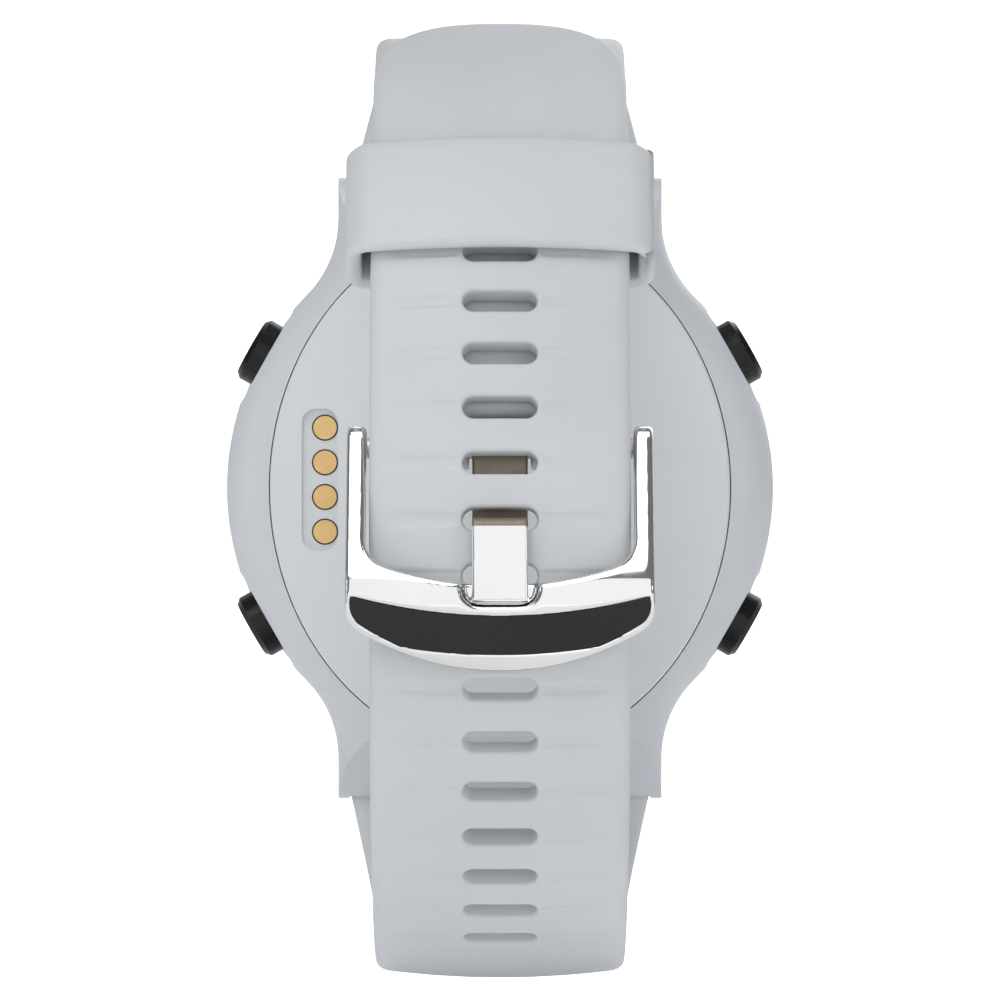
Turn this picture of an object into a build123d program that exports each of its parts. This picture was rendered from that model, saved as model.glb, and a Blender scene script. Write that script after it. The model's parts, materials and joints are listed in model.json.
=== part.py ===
from build123d import *
import os
from math import asin, atan2, cos, degrees, radians, sin, sqrt

# Golf GPS watch on its closed strap. Millimetres. +Z is the 12 o'clock direction,
# the dial looks along +Y, and the wrist side looks along -Y. The origin is the
# centre of the back cover's outer face. "Depth" is the distance along +Y from
# that face. Side-view points are (y, z) pairs.

os.makedirs("parts", exist_ok=True)

# ---------------------------------------------------------------- fits
SEAT_GAP = 0.1        # between a piece and the pocket it drops into, each side
RUNNING_GAP = 0.05    # radial, between a turning or sliding shaft and its bore
SOFT_GAP = 0.25       # between the strap and what slides or lies on it
SKIN = 0.35           # thinnest wall left behind a blind hole
OVERRUN = 1.0         # by which a cut runs past what it cuts, millimetres or degrees

# ---------------------------------------------------------------- case
CASE_RADIUS = 25.0
CASE_WALL = 4.0
BODY_BACK = 0.15      # depth of the mid-case's back, just below the cover's face
BODY_FRONT = 11.6
BEZEL_FRONT = 13.6
SHOULDER_RADIUS = 4.4
FRONT_EDGE_RADIUS = 1.2
LUG_BLEND = 10.0      # hollow curve from the round case to the lugs
EAR_RADIUS = 3.5
EAR_WALL = 1.0
LUG_PIN_DEPTH = 6.0
LUG_PIN_RADIUS = 0.9
LUG_TIP_RADIUS = 0.5
POCKET_WALL = 1.1     # wall between the case's inside and a strap pocket
BARREL_RADIUS = 2.6   # strap moulding round a lug pin

COVER_END_RIM = 0.7   # case radius beyond the cover's oval, towards the lugs
COVER_CUT = 4.1       # how far the cover's flat ends stop short of a lug pin
COVER_CORNER = 3.0
COVER_THICKNESS = 1.6
COVER_CHAMFER = 0.2
LEDGE_WIDTH = 1.6
CAVITY_BACK = 3.0     # depth of the inside's floor, the cover ledge's inner face
GASKET_WIDTH = 0.7
GASKET_HEIGHT = 0.35

# ---------------------------------------------------------------- charging contacts
CONTACT_X = -15.9
CONTACT_Z = 0.75
CONTACT_PITCH = 3.15
CONTACT_COUNT = 4
CONTACT_RADIUS = 1.06
CONTACT_SEAL = 0.14
CONTACT_PROUD = 0.2   # contact above the pocket's floor
PORT_WIDTH = 3.3
PORT_HEIGHT = 12.9
PORT_CORNER = 1.3
PORT_SHIFT = -0.45    # the contacts sit off the pocket's middle
PORT_DEPTH = 0.55
CONTACT_BOARD_WIDTH = 3.0
CONTACT_BOARD_THICKNESS = 0.6
FLEX_WIDTH = 2.0
FLEX_THICKNESS = 0.2
FLEX_FOOT = 1.2

# ---------------------------------------------------------------- inside
TRAY_FLOOR = 0.4
TRAY_WALL = 0.8
TRAY_WALL_HEIGHT = 2.4
BATTERY_WIDTH = 26.0
BATTERY_HEIGHT = 21.0
BATTERY_THICKNESS = 3.1
BATTERY_Z = -1.5
BOARD_BACK = 7.0
BOARD_THICKNESS = 0.8
BOARD_EDGE = 1.8      # gap from the board's rim to the case's inside
SCREW_COUNT = 4
SCREW_INSET = 1.9     # screw axis in from the board's rim
SCREW_RADIUS = 0.7
SCREW_HEAD_RADIUS = 1.2
SCREW_HEAD = 0.7
SCREW_LENGTH = 3.0
BOSS_RADIUS = 1.6
SHIELD_HEIGHT = 0.9
SHIELDS = ((-6.0, 3.0, 12.0, 10.0), (7.0, -2.0, 9.0, 9.0))  # centre x, z, width, height
ANTENNA_SIZE = 6.8
ANTENNA_THICKNESS = 2.6
MOTOR_RADIUS = 3.5
MOTOR_THICKNESS = 2.7
ANTENNA_X = -5.6
MOTOR_X = 7.0
FRAME_FLOOR_BACK = 8.8
FRAME_FLOOR = 0.8
FRAME_RING = 2.2
FRAME_GAP = 0.9       # from the display frame to the case's inside, for the bezel's spigot
FRAME_RIM = 0.4
PANEL_THICKNESS = 1.3
CRYSTAL_THICKNESS = 1.4
CRYSTAL_GASKET = 0.55
BEZEL_LIP = 0.6
BEZEL_LIP_REACH = 1.0
BEZEL_OUTSET = 2.4    # bezel beyond the case's inside
BEZEL_CHAMFER = 0.9

# ---------------------------------------------------------------- buttons
BUTTON_ANGLE = 29.6
BUTTON_DEPTH = 5.8
BUTTON_RADIUS = 3.05
BUTTON_HEIGHT = 2.05
BUTTON_PROUD = 1.2
BUTTON_CHAMFER = 0.45
BUTTON_TRAVEL = 0.6
STOP_GAP = 0.1
SPOT_FACE_GAP = 0.35
FLAT_RADIUS = 5.2      # flat on the case round each button
FLAT_DEPTH = 0.6
STEM_RADIUS = 1.0
TUBE_WALL = 0.55
TUBE_INSET = 0.3      # guide tube past the case's inside
SEAL_CORD = 0.45
CLIP_WALL = 0.6
CLIP_THICKNESS = 0.4
CLIP_PLAY = 0.15
STEM_END = 0.4        # stem beyond its clip
SWITCH_WIDTH = 3.6
SWITCH_LENGTH = 1.8
SWITCH_HEIGHT = 2.3
SWITCH_NUB = 0.3
SWITCH_NUB_RADIUS = 0.6
SWITCH_GAP = 0.05

# ---------------------------------------------------------------- strap
STRAP_WIDTH = 22.0
ROOT_FLARE = 2.7      # how much wider the strap is at the lugs, each side
STRAP_THICKNESS = 2.4
STRAP_ROOT = 3.5      # thickness where it leaves the lug
LAYER_GAP = 0.2       # between the long strap and the short strap under it
ROOT_FRONT = 8.7      # depth of the strap's outer face at the lugs
BEND_RADIUS = 18.0    # outer face, from the lugs round to the top or bottom
LOOP_DROP = 18.7      # from the lower lug pin down to the loop's lowest point
LOOP_RISE = 15.3      # from the upper lug pin up to the short strap's highest point
LOOP_DEPTH = 45.0     # from the back cover to the loop's foremost point
SLOT_LENGTH = 6.3
SLOT_HEIGHT = 1.9
SLOT_PITCH = 4.8
FIRST_SLOT = 0.46     # slot 0, along the strap above the foremost point
LOWEST_SLOT = -8
HIGHEST_SLOT = 6
TONGUE_SLOT = 1
TAIL_LENGTH = 28.5    # past the highest slot
TAIL_ROUND = 9.5
TAIL_CORNER = 7.2

# ---------------------------------------------------------------- buckle and keeper
BAR_RISE = 7.0        # bar above the tongue's slot, along the strap
BAR_RADIUS = 0.9
BAR_TIP_RADIUS = 0.55
BAR_BARREL = 1.9      # strap moulding round the bar
TONGUE_WIDTH = 4.7
TONGUE_THICKNESS = 0.8
TONGUE_EYE_WALL = 0.7
TONGUE_BEND = 0.48
TONGUE_SWING = 0.55   # room under the long strap for the tongue to lift
TONGUE_LOW = 0.35     # tongue below the middle of its slot
TONGUE_LIFT = 1.4     # its flat end above the strap's outer face
TONGUE_END = 1.65     # the tongue's tip, below the loop's foremost point
LEG_WIDTH = 1.7
LEG_END_RADIUS = 1.9
CROSSBAR_THICKNESS = 2.2
LEG_FILLET = 2.5      # between a leg and the crossbar's upper edge
FRAME_CORNER = 2.4
KNEE_OUTER = 8.0      # side view, where a leg bends into the crossbar
KNEE_INNER = 4.0
CROSSBAR_TOP = -1.85  # distances below the loop's foremost point, at the legs
CROSSBAR_BOTTOM = 3.35
CROSSBAR_SAG = 2.1    # how much lower the upper edge is at the middle
CROSSBAR_BELLY = 4.1  # the same for the lower edge
NOTCH_WIDTH = 6.5
NOTCH_DEPTH = 1.5
NOTCH_BOTTOM = 2.05
NOTCH_HEIGHT = 6.0
NOTCH_CORNER = 1.6
INLAY_TOP = 1.05
INLAY_HEIGHT = 3.2
INLAY_SAG = 1.8
INLAY_THICKNESS = 0.3
INLAY_MARGIN = 0.45
KEEPER_PLACE = 34.7   # its middle, along the strap above the foremost point
KEEPER_LENGTH = 11.2
KEEPER_WALL = 1.4
KEEPER_SIDE_GAP = 0.8
KEEPER_CORNER = 1.1

# ---------------------------------------------------------------- worked out: case
CAVITY_RADIUS = CASE_RADIUS - CASE_WALL
COVER_HALF_WIDTH = CAVITY_RADIUS
COVER_HALF_HEIGHT = CASE_RADIUS - COVER_END_RIM
STRAP_ROOT_WIDTH = STRAP_WIDTH + 2 * ROOT_FLARE
POCKET_RADIUS = BARREL_RADIUS + SOFT_GAP
LUG_PIN_Z = CAVITY_RADIUS + POCKET_WALL + POCKET_RADIUS
POCKET_HALF = STRAP_ROOT_WIDTH / 2 + SEAT_GAP
EAR_OUTER = POCKET_HALF + EAR_WALL
COVER_FLAT = LUG_PIN_Z - COVER_CUT
BOARD_RADIUS = CAVITY_RADIUS - BOARD_EDGE
SCREW_CIRCLE = BOARD_RADIUS - SCREW_INSET
BOARD_FRONT = BOARD_BACK + BOARD_THICKNESS
TRAY_TOP = CAVITY_BACK + TRAY_FLOOR
WALL_WIDTH = BATTERY_WIDTH + 2 * (SEAT_GAP + TRAY_WALL)
WALL_HEIGHT = BATTERY_HEIGHT + 2 * (SEAT_GAP + TRAY_WALL)
ABOVE_TRAY = BATTERY_Z + WALL_HEIGHT / 2 + SEAT_GAP
FRAME_RADIUS = CAVITY_RADIUS - FRAME_GAP
PANEL_RADIUS = FRAME_RADIUS - FRAME_RING
CRYSTAL_BACK = BODY_FRONT
CRYSTAL_FRONT = CRYSTAL_BACK + CRYSTAL_THICKNESS
GASKET_OUTER = FRAME_RADIUS
CRYSTAL_RADIUS = GASKET_OUTER - CRYSTAL_GASKET
BEZEL_RADIUS = CAVITY_RADIUS + BEZEL_OUTSET
CAP_END = CASE_RADIUS + BUTTON_PROUD
CAP_SEAT = CAP_END - BUTTON_HEIGHT
SPOT_FACE = CAP_SEAT - BUTTON_TRAVEL - STOP_GAP
TUBE_END = CAVITY_RADIUS - TUBE_INSET
CLIP_END = TUBE_END - CLIP_PLAY - CLIP_THICKNESS
STEM_TIP = CLIP_END - STEM_END
SWITCH_FACE = STEM_TIP - BUTTON_TRAVEL - SWITCH_GAP

# ---------------------------------------------------------------- worked out: strap loop
BEND_Y = ROOT_FRONT - BEND_RADIUS
LOOP_BOTTOM = -(LUG_PIN_Z + LOOP_DROP)
LOOP_TOP = LUG_PIN_Z + LOOP_RISE
LOW_BEND = (BEND_Y, LOOP_BOTTOM + BEND_RADIUS)
TOP_BEND = (BEND_Y, LOOP_TOP - BEND_RADIUS)
ROOT_INNER = BEND_RADIUS - STRAP_ROOT
LOW_RADIUS = LOOP_DEPTH + BEND_Y
FRONT_Z = LOOP_BOTTOM + LOW_RADIUS
LOW_CENTER = (BEND_Y, FRONT_Z)
# The short strap's front arc is tangent to the top bend, and the long strap's
# front arc lies one layer outside it, about the same centre.
LAYER = STRAP_THICKNESS + LAYER_GAP
RISE = TOP_BEND[1] - FRONT_Z
ROOM = LOOP_DEPTH + BEND_Y - BEND_RADIUS - LAYER
SHORT_RADIUS = BEND_RADIUS + (RISE**2 + ROOM**2) / (2 * ROOM)
LONG_RADIUS = SHORT_RADIUS + LAYER
FRONT_CENTER = (LONG_RADIUS - LOOP_DEPTH, FRONT_Z)
TOP_JOIN = degrees(atan2(RISE, FRONT_CENTER[0] - BEND_Y))
HALF_WIDTH = STRAP_WIDTH / 2
TAIL_TIP = FIRST_SLOT + HIGHEST_SLOT * SLOT_PITCH + TAIL_LENGTH
BAR_PATH = SHORT_RADIUS - BAR_BARREL
BAR_PLACE = FIRST_SLOT + TONGUE_SLOT * SLOT_PITCH + BAR_RISE
LEG_INNER = HALF_WIDTH + SOFT_GAP
LEG_OUTER = LEG_INNER + LEG_WIDTH
KEEPER_INNER = SHORT_RADIUS - STRAP_THICKNESS - SOFT_GAP
KEEPER_OUTER = LONG_RADIUS + SOFT_GAP
KEEPER_HALF = HALF_WIDTH + KEEPER_SIDE_GAP
CROSSBAR_INNER = LOW_RADIUS + SOFT_GAP
CROSSBAR_OUTER = CROSSBAR_INNER + CROSSBAR_THICKNESS


# ---------------------------------------------------------------- shared helpers
def depth_plane(depth):
    """Sketch plane parallel to the dial, seen from the wrist side: +X right, +Z up."""
    return Plane.XZ.offset(-depth)


def arc_point(center, radius, angle):
    """Side-view point on an arc, its angle measured up from the wrist side."""
    turn = radians(angle)
    return (center[0] - radius * cos(turn), center[1] + radius * sin(turn))


def strap_angle(along):
    """Angle on the long strap's front arc of a place given along its outer face."""
    return degrees(along / LONG_RADIUS)


def strap_plane(along):
    """Sketch plane on the long strap's outer face: its normal points out of the loop."""
    center, radius = (FRONT_CENTER, LONG_RADIUS) if along >= 0 else (LOW_CENTER, LOW_RADIUS)
    angle = degrees(along / radius)
    y, z = arc_point(center, radius, angle)
    normal = (0, -cos(radians(angle)), sin(radians(angle)))
    return Plane(origin=(0, y, z), x_dir=(1, 0, 0), z_dir=normal)


def ring_sector(center, outer, inner, start, end):
    """Side-view piece of a ring between two angles."""
    middle = (start + end) / 2
    with BuildSketch() as sector:
        with BuildLine():
            ThreePointArc(*[arc_point(center, outer, a) for a in (start, middle, end)])
            Line(arc_point(center, outer, end), arc_point(center, inner, end))
            ThreePointArc(*[arc_point(center, inner, a) for a in (end, middle, start)])
            Line(arc_point(center, inner, start), arc_point(center, outer, start))
        make_face()
    return sector.sketch


def root_inner_z(end):
    """Height of the centre of a root's inner face: the root thins as it leaves the lug."""
    tip = LOOP_TOP if end > 0 else LOOP_BOTTOM
    return tip - end * (STRAP_THICKNESS + ROOT_INNER)


def root_bend(end):
    """Side view of a strap's thick root, from its lug pin round to the top or bottom."""
    bend_z = TOP_BEND[1] if end > 0 else LOW_BEND[1]
    inner_z = root_inner_z(end)
    reach = 2 * BEND_RADIUS
    with BuildSketch() as bend:
        with Locations((BEND_Y, bend_z)):
            Circle(BEND_RADIUS)
        with Locations((BEND_Y, inner_z)):
            Circle(ROOT_INNER, mode=Mode.SUBTRACT)
        with Locations((BEND_Y + reach / 2, end * (LUG_PIN_Z + reach / 2))):
            Rectangle(reach, reach, mode=Mode.INTERSECT)
        with Locations((LUG_PIN_DEPTH, end * LUG_PIN_Z)):
            Circle(BARREL_RADIUS)
            Circle(LUG_PIN_RADIUS + RUNNING_GAP, mode=Mode.SUBTRACT)
    return bend.sketch


def root_taper(end):
    """Front view of what is cut off a strap's root so that it narrows from the lugs."""
    wide = STRAP_ROOT_WIDTH / 2
    z_wide = end * (LUG_PIN_Z + EAR_RADIUS)
    z_narrow = (LOOP_TOP if end > 0 else LOOP_BOTTOM) - end * STRAP_THICKNESS
    z_far = z_narrow + end * 2 * STRAP_THICKNESS
    with BuildSketch() as taper:
        for side in (1, -1):
            Polygon(
                (side * wide, z_wide),
                (side * HALF_WIDTH, z_narrow),
                (side * HALF_WIDTH, z_far),
                (side * 2 * wide, z_far),
                (side * 2 * wide, z_wide),
                align=None,
            )
    return taper.sketch


def cover_outline(inset):
    """Back view of the cover's outline, or of one drawn inside it."""
    with BuildSketch() as cover:
        Ellipse(COVER_HALF_WIDTH - inset, COVER_HALF_HEIGHT - inset)
        Rectangle(3 * COVER_HALF_WIDTH, 2 * (COVER_FLAT - inset), mode=Mode.INTERSECT)
        fillet(cover.vertices(), COVER_CORNER)
    return cover.sketch


def above_arc(level, sag, half_width, corner):
    """Back view of what lies above a hanging arc, its ends a level below the foremost point."""
    z_end = FRONT_Z - level
    with BuildSketch() as above:
        with BuildLine():
            ThreePointArc((-half_width, z_end), (0, z_end - sag), (half_width, z_end))
            Polyline(
                (half_width, z_end),
                (half_width, CASE_RADIUS),
                (-half_width, CASE_RADIUS),
                (-half_width, z_end),
            )
        make_face()
        fillet(above.vertices().sort_by(Axis.Y)[:2], corner)
    return above.sketch


def button_axis(place, radius):
    """Plane at a distance from the case centre on a button's axis, facing outwards."""
    turn = radians(place)
    out = Vector(cos(turn), 0, sin(turn))
    return Plane(origin=out * radius + Vector(0, BUTTON_DEPTH, 0), x_dir=(0, 1, 0), z_dir=out)


BUTTONS = {
    "upper_right": BUTTON_ANGLE,
    "upper_left": 180 - BUTTON_ANGLE,
    "lower_left": 180 + BUTTON_ANGLE,
    "lower_right": -BUTTON_ANGLE,
}
CONTACT_SPOTS = [
    (CONTACT_X, CONTACT_Z + (i - (CONTACT_COUNT - 1) / 2) * CONTACT_PITCH)
    for i in range(CONTACT_COUNT)
]
UP = (Align.CENTER, Align.CENTER, Align.MIN)

# ---------------------------------------------------------------- case body
# Mid-case with its two pairs of lugs: the back view's outline, its edges rounded,
# cut to the side view, then hollowed for the movement and the strap ends.
with BuildPart() as case_body:
    with BuildSketch(depth_plane(BODY_BACK)) as outline:
        Circle(CASE_RADIUS)
        Rectangle(2 * EAR_OUTER, 2 * (LUG_PIN_Z + EAR_RADIUS))
        fillet([v for v in outline.vertices() if abs(v.Y) < LUG_PIN_Z], LUG_BLEND)
    extrude(amount=BODY_BACK - BODY_FRONT)
    for face, radius in ((0, SHOULDER_RADIUS), (-1, FRONT_EDGE_RADIUS)):
        rim = case_body.faces().sort_by(Axis.Y)[face].edges()
        fillet([e for e in rim if abs(e.center().Z) < LUG_PIN_Z], radius)
    with BuildSketch(Plane.YZ, mode=Mode.PRIVATE) as side_view:
        with Locations(((BODY_BACK + BODY_FRONT) / 2, 0)):
            Rectangle(BODY_FRONT - BODY_BACK + 2 * FRONT_EDGE_RADIUS, 2 * COVER_FLAT)
        with Locations((LUG_PIN_DEPTH, LUG_PIN_Z), (LUG_PIN_DEPTH, -LUG_PIN_Z)):
            Circle(EAR_RADIUS)
        make_hull()
    with BuildSketch(Plane.YZ):
        Rectangle(4 * CASE_RADIUS, 4 * CASE_RADIUS)
        add(side_view.sketch_local, mode=Mode.SUBTRACT)
    extrude(amount=2 * CASE_RADIUS, both=True, mode=Mode.SUBTRACT)
    # the inside, open to the front
    with BuildSketch(depth_plane(CAVITY_BACK)):
        Circle(CAVITY_RADIUS)
    extrude(amount=CAVITY_BACK - BODY_FRONT, mode=Mode.SUBTRACT)
    # the seat for the back cover, and the opening inside its ledge
    with BuildSketch(depth_plane(0)):
        add(cover_outline(0))
    extrude(amount=-COVER_THICKNESS - GASKET_HEIGHT, mode=Mode.SUBTRACT)
    with BuildSketch(depth_plane(0)):
        add(cover_outline(LEDGE_WIDTH))
    extrude(amount=-CAVITY_BACK, mode=Mode.SUBTRACT)
    # pockets for the strap ends, open away from the case and to the front
    for end in (1, -1):
        past_bend = LUG_PIN_Z + EAR_RADIUS - abs(root_inner_z(end))
        mouth_depth = BEND_Y + sqrt(ROOT_INNER**2 - past_bend**2) - SOFT_GAP
        front = BODY_FRONT + BARREL_RADIUS
        with Locations((0, LUG_PIN_DEPTH, end * LUG_PIN_Z)):
            Cylinder(POCKET_RADIUS, 2 * POCKET_HALF, rotation=(0, 90, 0), mode=Mode.SUBTRACT)
        with Locations((0, (mouth_depth + front) / 2, end * (LUG_PIN_Z + EAR_RADIUS))):
            Box(2 * POCKET_HALF, front - mouth_depth, 2 * EAR_RADIUS, mode=Mode.SUBTRACT)
        with Locations((0, (LUG_PIN_DEPTH + front) / 2, end * LUG_PIN_Z)):
            Box(2 * POCKET_HALF, front - LUG_PIN_DEPTH, BARREL_RADIUS, mode=Mode.SUBTRACT)
        with BuildSketch(Plane.YZ.offset(SKIN - EAR_OUTER)):
            with Locations((LUG_PIN_DEPTH, end * LUG_PIN_Z)):
                Circle(LUG_TIP_RADIUS + RUNNING_GAP)
        extrude(amount=2 * (EAR_OUTER - SKIN), mode=Mode.SUBTRACT)
    # a flat and a round seat for each button, and the bore for its guide tube
    for place in BUTTONS.values():
        with Locations(button_axis(place, CASE_RADIUS - FLAT_DEPTH)):
            Cylinder(FLAT_RADIUS, CASE_WALL, align=UP, mode=Mode.SUBTRACT)
        with Locations(button_axis(place, SPOT_FACE)):
            Cylinder(BUTTON_RADIUS + SPOT_FACE_GAP, CASE_WALL, align=UP, mode=Mode.SUBTRACT)
        with Locations(button_axis(place, TUBE_END)):
            tube_radius = STEM_RADIUS + RUNNING_GAP + TUBE_WALL
            Cylinder(tube_radius, CASE_WALL, align=UP, mode=Mode.SUBTRACT)
case_body.part.label = "case_body"
export_step(case_body.part, "parts/case_body.step")

# ---------------------------------------------------------------- back cover
# Flat cover with the charging port's pocket and a bore for each insulated contact.
with BuildPart() as back_cover:
    with BuildSketch(depth_plane(0)):
        add(cover_outline(SEAT_GAP))
    extrude(amount=-COVER_THICKNESS)
    chamfer(back_cover.faces().sort_by(Axis.Y)[0].edges(), COVER_CHAMFER)
    with BuildSketch(depth_plane(0)):
        with Locations((CONTACT_X + PORT_SHIFT, CONTACT_Z)):
            RectangleRounded(PORT_WIDTH, PORT_HEIGHT, PORT_CORNER)
    extrude(amount=-PORT_DEPTH, mode=Mode.SUBTRACT)
    with BuildSketch(depth_plane(0)):
        with Locations(*CONTACT_SPOTS):
            Circle(CONTACT_RADIUS + CONTACT_SEAL)
    extrude(amount=-COVER_THICKNESS, mode=Mode.SUBTRACT)
back_cover.part.label = "back_cover"
export_step(back_cover.part, "parts/back_cover.step")

# Sealing ring squeezed between the cover's rim and the ledge.
with BuildPart() as back_gasket:
    with BuildSketch(depth_plane(COVER_THICKNESS)):
        add(cover_outline((LEDGE_WIDTH - GASKET_WIDTH) / 2))
        add(cover_outline((LEDGE_WIDTH + GASKET_WIDTH) / 2), mode=Mode.SUBTRACT)
    extrude(amount=-GASKET_HEIGHT)
back_gasket.part.label = "back_gasket"
export_step(back_gasket.part, "parts/back_gasket.step")

# ---------------------------------------------------------------- charging port
# Four turned contacts, each in its own insulating ring, on a small board.
CONTACT_FACE = PORT_DEPTH - CONTACT_PROUD
BOARD_DEPTH = COVER_THICKNESS + CONTACT_PROUD
with BuildPart() as charge_contacts:
    with BuildSketch(depth_plane(CONTACT_FACE)):
        with Locations(*CONTACT_SPOTS):
            Circle(CONTACT_RADIUS)
    extrude(amount=CONTACT_FACE - BOARD_DEPTH)
charge_contacts.part.label = "charge_contacts"
export_step(charge_contacts.part, "parts/charge_contacts.step")

with BuildPart() as contact_seals:
    with BuildSketch(depth_plane(PORT_DEPTH)):
        with Locations(*CONTACT_SPOTS):
            Circle(CONTACT_RADIUS + CONTACT_SEAL)
            Circle(CONTACT_RADIUS, mode=Mode.SUBTRACT)
    extrude(amount=PORT_DEPTH - COVER_THICKNESS)
contact_seals.part.label = "contact_seals"
export_step(contact_seals.part, "parts/contact_seals.step")

with BuildPart() as contact_board:
    with BuildSketch(depth_plane(BOARD_DEPTH)):
        row = (CONTACT_COUNT - 1) * CONTACT_PITCH + 2 * CONTACT_RADIUS
        with Locations((CONTACT_X, CONTACT_Z)):
            Rectangle(CONTACT_BOARD_WIDTH, row)
    extrude(amount=-CONTACT_BOARD_THICKNESS)
contact_board.part.label = "contact_board"
export_step(contact_board.part, "parts/contact_board.step")

# Flexible strip from the contact board's lower end up to the main board's back.
with BuildPart() as contact_flex:
    FLEX_START = BOARD_DEPTH + CONTACT_BOARD_THICKNESS
    with BuildSketch(depth_plane(FLEX_START)):
        with Locations(CONTACT_SPOTS[0]):
            Rectangle(FLEX_WIDTH, FLEX_FOOT)
    extrude(amount=-FLEX_THICKNESS)
    with BuildSketch(depth_plane(FLEX_START)):
        with Locations(CONTACT_SPOTS[0]):
            Rectangle(FLEX_WIDTH, FLEX_THICKNESS)
    extrude(amount=FLEX_START - BOARD_BACK)
contact_flex.part.label = "contact_flex"
export_step(contact_flex.part, "parts/contact_flex.step")

# ---------------------------------------------------------------- battery and its tray
with BuildPart() as battery_tray:
    with BuildSketch(depth_plane(CAVITY_BACK)):
        Circle(CAVITY_RADIUS - SEAT_GAP)
        with Locations(CONTACT_SPOTS[0]):
            Rectangle(FLEX_WIDTH + 4 * SEAT_GAP, 2 * FLEX_FOOT, mode=Mode.SUBTRACT)
    extrude(amount=-TRAY_FLOOR)
    with BuildSketch(depth_plane(TRAY_TOP)):
        with Locations((0, BATTERY_Z)):
            Rectangle(WALL_WIDTH, WALL_HEIGHT)
            Rectangle(WALL_WIDTH - 2 * TRAY_WALL, WALL_HEIGHT - 2 * TRAY_WALL, mode=Mode.SUBTRACT)
    extrude(amount=-TRAY_WALL_HEIGHT)
    with BuildSketch(depth_plane(TRAY_TOP)):
        with PolarLocations(SCREW_CIRCLE, SCREW_COUNT):
            Circle(BOSS_RADIUS)
    extrude(amount=TRAY_TOP - BOARD_BACK)
    with BuildSketch(depth_plane(BOARD_BACK)):
        with PolarLocations(SCREW_CIRCLE, SCREW_COUNT):
            Circle(SCREW_RADIUS)
    extrude(amount=SCREW_LENGTH - BOARD_THICKNESS, mode=Mode.SUBTRACT)
battery_tray.part.label = "battery_tray"
export_step(battery_tray.part, "parts/battery_tray.step")

with BuildPart() as battery:
    with BuildSketch(depth_plane(TRAY_TOP)):
        with Locations((0, BATTERY_Z)):
            RectangleRounded(BATTERY_WIDTH, BATTERY_HEIGHT, BATTERY_THICKNESS / 2)
    extrude(amount=-BATTERY_THICKNESS)
battery.part.label = "battery"
export_step(battery.part, "parts/battery.step")

# ---------------------------------------------------------------- main board
with BuildPart() as main_board:
    with BuildSketch(depth_plane(BOARD_BACK)):
        Circle(BOARD_RADIUS)
        with PolarLocations(SCREW_CIRCLE, SCREW_COUNT):
            Circle(SCREW_RADIUS + RUNNING_GAP, mode=Mode.SUBTRACT)
    extrude(amount=-BOARD_THICKNESS)
main_board.part.label = "main_board"
export_step(main_board.part, "parts/main_board.step")

with BuildPart() as board_screws:
    with BuildSketch(depth_plane(BOARD_FRONT)):
        with PolarLocations(SCREW_CIRCLE, SCREW_COUNT):
            Circle(SCREW_HEAD_RADIUS)
    extrude(amount=-SCREW_HEAD)
    with BuildSketch(depth_plane(BOARD_FRONT)):
        with PolarLocations(SCREW_CIRCLE, SCREW_COUNT):
            Circle(SCREW_RADIUS)
    extrude(amount=SCREW_LENGTH)
board_screws.part.label = "board_screws"
export_step(board_screws.part, "parts/board_screws.step")

# Pressed tin shields over the processor and the satellite receiver.
with BuildPart() as board_shields:
    with BuildSketch(depth_plane(BOARD_FRONT)):
        for x, z, width, height in SHIELDS:
            with Locations((x, z)):
                Rectangle(width, height)
    extrude(amount=-SHIELD_HEIGHT)
board_shields.part.label = "board_shields"
export_step(board_shields.part, "parts/board_shields.step")

with BuildPart() as antenna:
    with BuildSketch(depth_plane(BOARD_BACK)):
        with Locations((ANTENNA_X, ABOVE_TRAY + ANTENNA_SIZE / 2)):
            Rectangle(ANTENNA_SIZE, ANTENNA_SIZE)
    extrude(amount=ANTENNA_THICKNESS)
antenna.part.label = "antenna"
export_step(antenna.part, "parts/antenna.step")

with BuildPart() as vibration_motor:
    with BuildSketch(depth_plane(BOARD_BACK)):
        with Locations((MOTOR_X, ABOVE_TRAY + MOTOR_RADIUS)):
            Circle(MOTOR_RADIUS)
    extrude(amount=MOTOR_THICKNESS)
vibration_motor.part.label = "vibration_motor"
export_step(vibration_motor.part, "parts/vibration_motor.step")

# Side-push switches hung from the board's back, one behind each button.
with BuildPart() as button_switches:
    for place in BUTTONS.values():
        with Locations(button_axis(place, SWITCH_FACE - SWITCH_NUB)):
            with Locations((BOARD_BACK - BUTTON_DEPTH - SWITCH_HEIGHT / 2, 0, -SWITCH_LENGTH)):
                Box(SWITCH_HEIGHT, SWITCH_WIDTH, SWITCH_LENGTH, align=UP)
            Cylinder(SWITCH_NUB_RADIUS, SWITCH_NUB, align=UP)
button_switches.part.label = "button_switches"
export_step(button_switches.part, "parts/button_switches.step")

# ---------------------------------------------------------------- display stack
with BuildPart() as display_frame:
    with BuildSketch(depth_plane(FRAME_FLOOR_BACK)):
        Circle(FRAME_RADIUS)
    extrude(amount=FRAME_FLOOR_BACK - BODY_FRONT)
    with BuildSketch(depth_plane(FRAME_FLOOR_BACK + FRAME_FLOOR)):
        Circle(PANEL_RADIUS + SEAT_GAP)
    extrude(amount=FRAME_FLOOR_BACK + FRAME_FLOOR - BODY_FRONT, mode=Mode.SUBTRACT)
    # rim that stands on the board's edge, outside the screw heads
    with BuildSketch(depth_plane(BOARD_FRONT)):
        Circle(BOARD_RADIUS)
        Circle(BOARD_RADIUS - FRAME_RIM, mode=Mode.SUBTRACT)
    extrude(amount=BOARD_FRONT - FRAME_FLOOR_BACK)
display_frame.part.label = "display_frame"
export_step(display_frame.part, "parts/display_frame.step")

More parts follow.
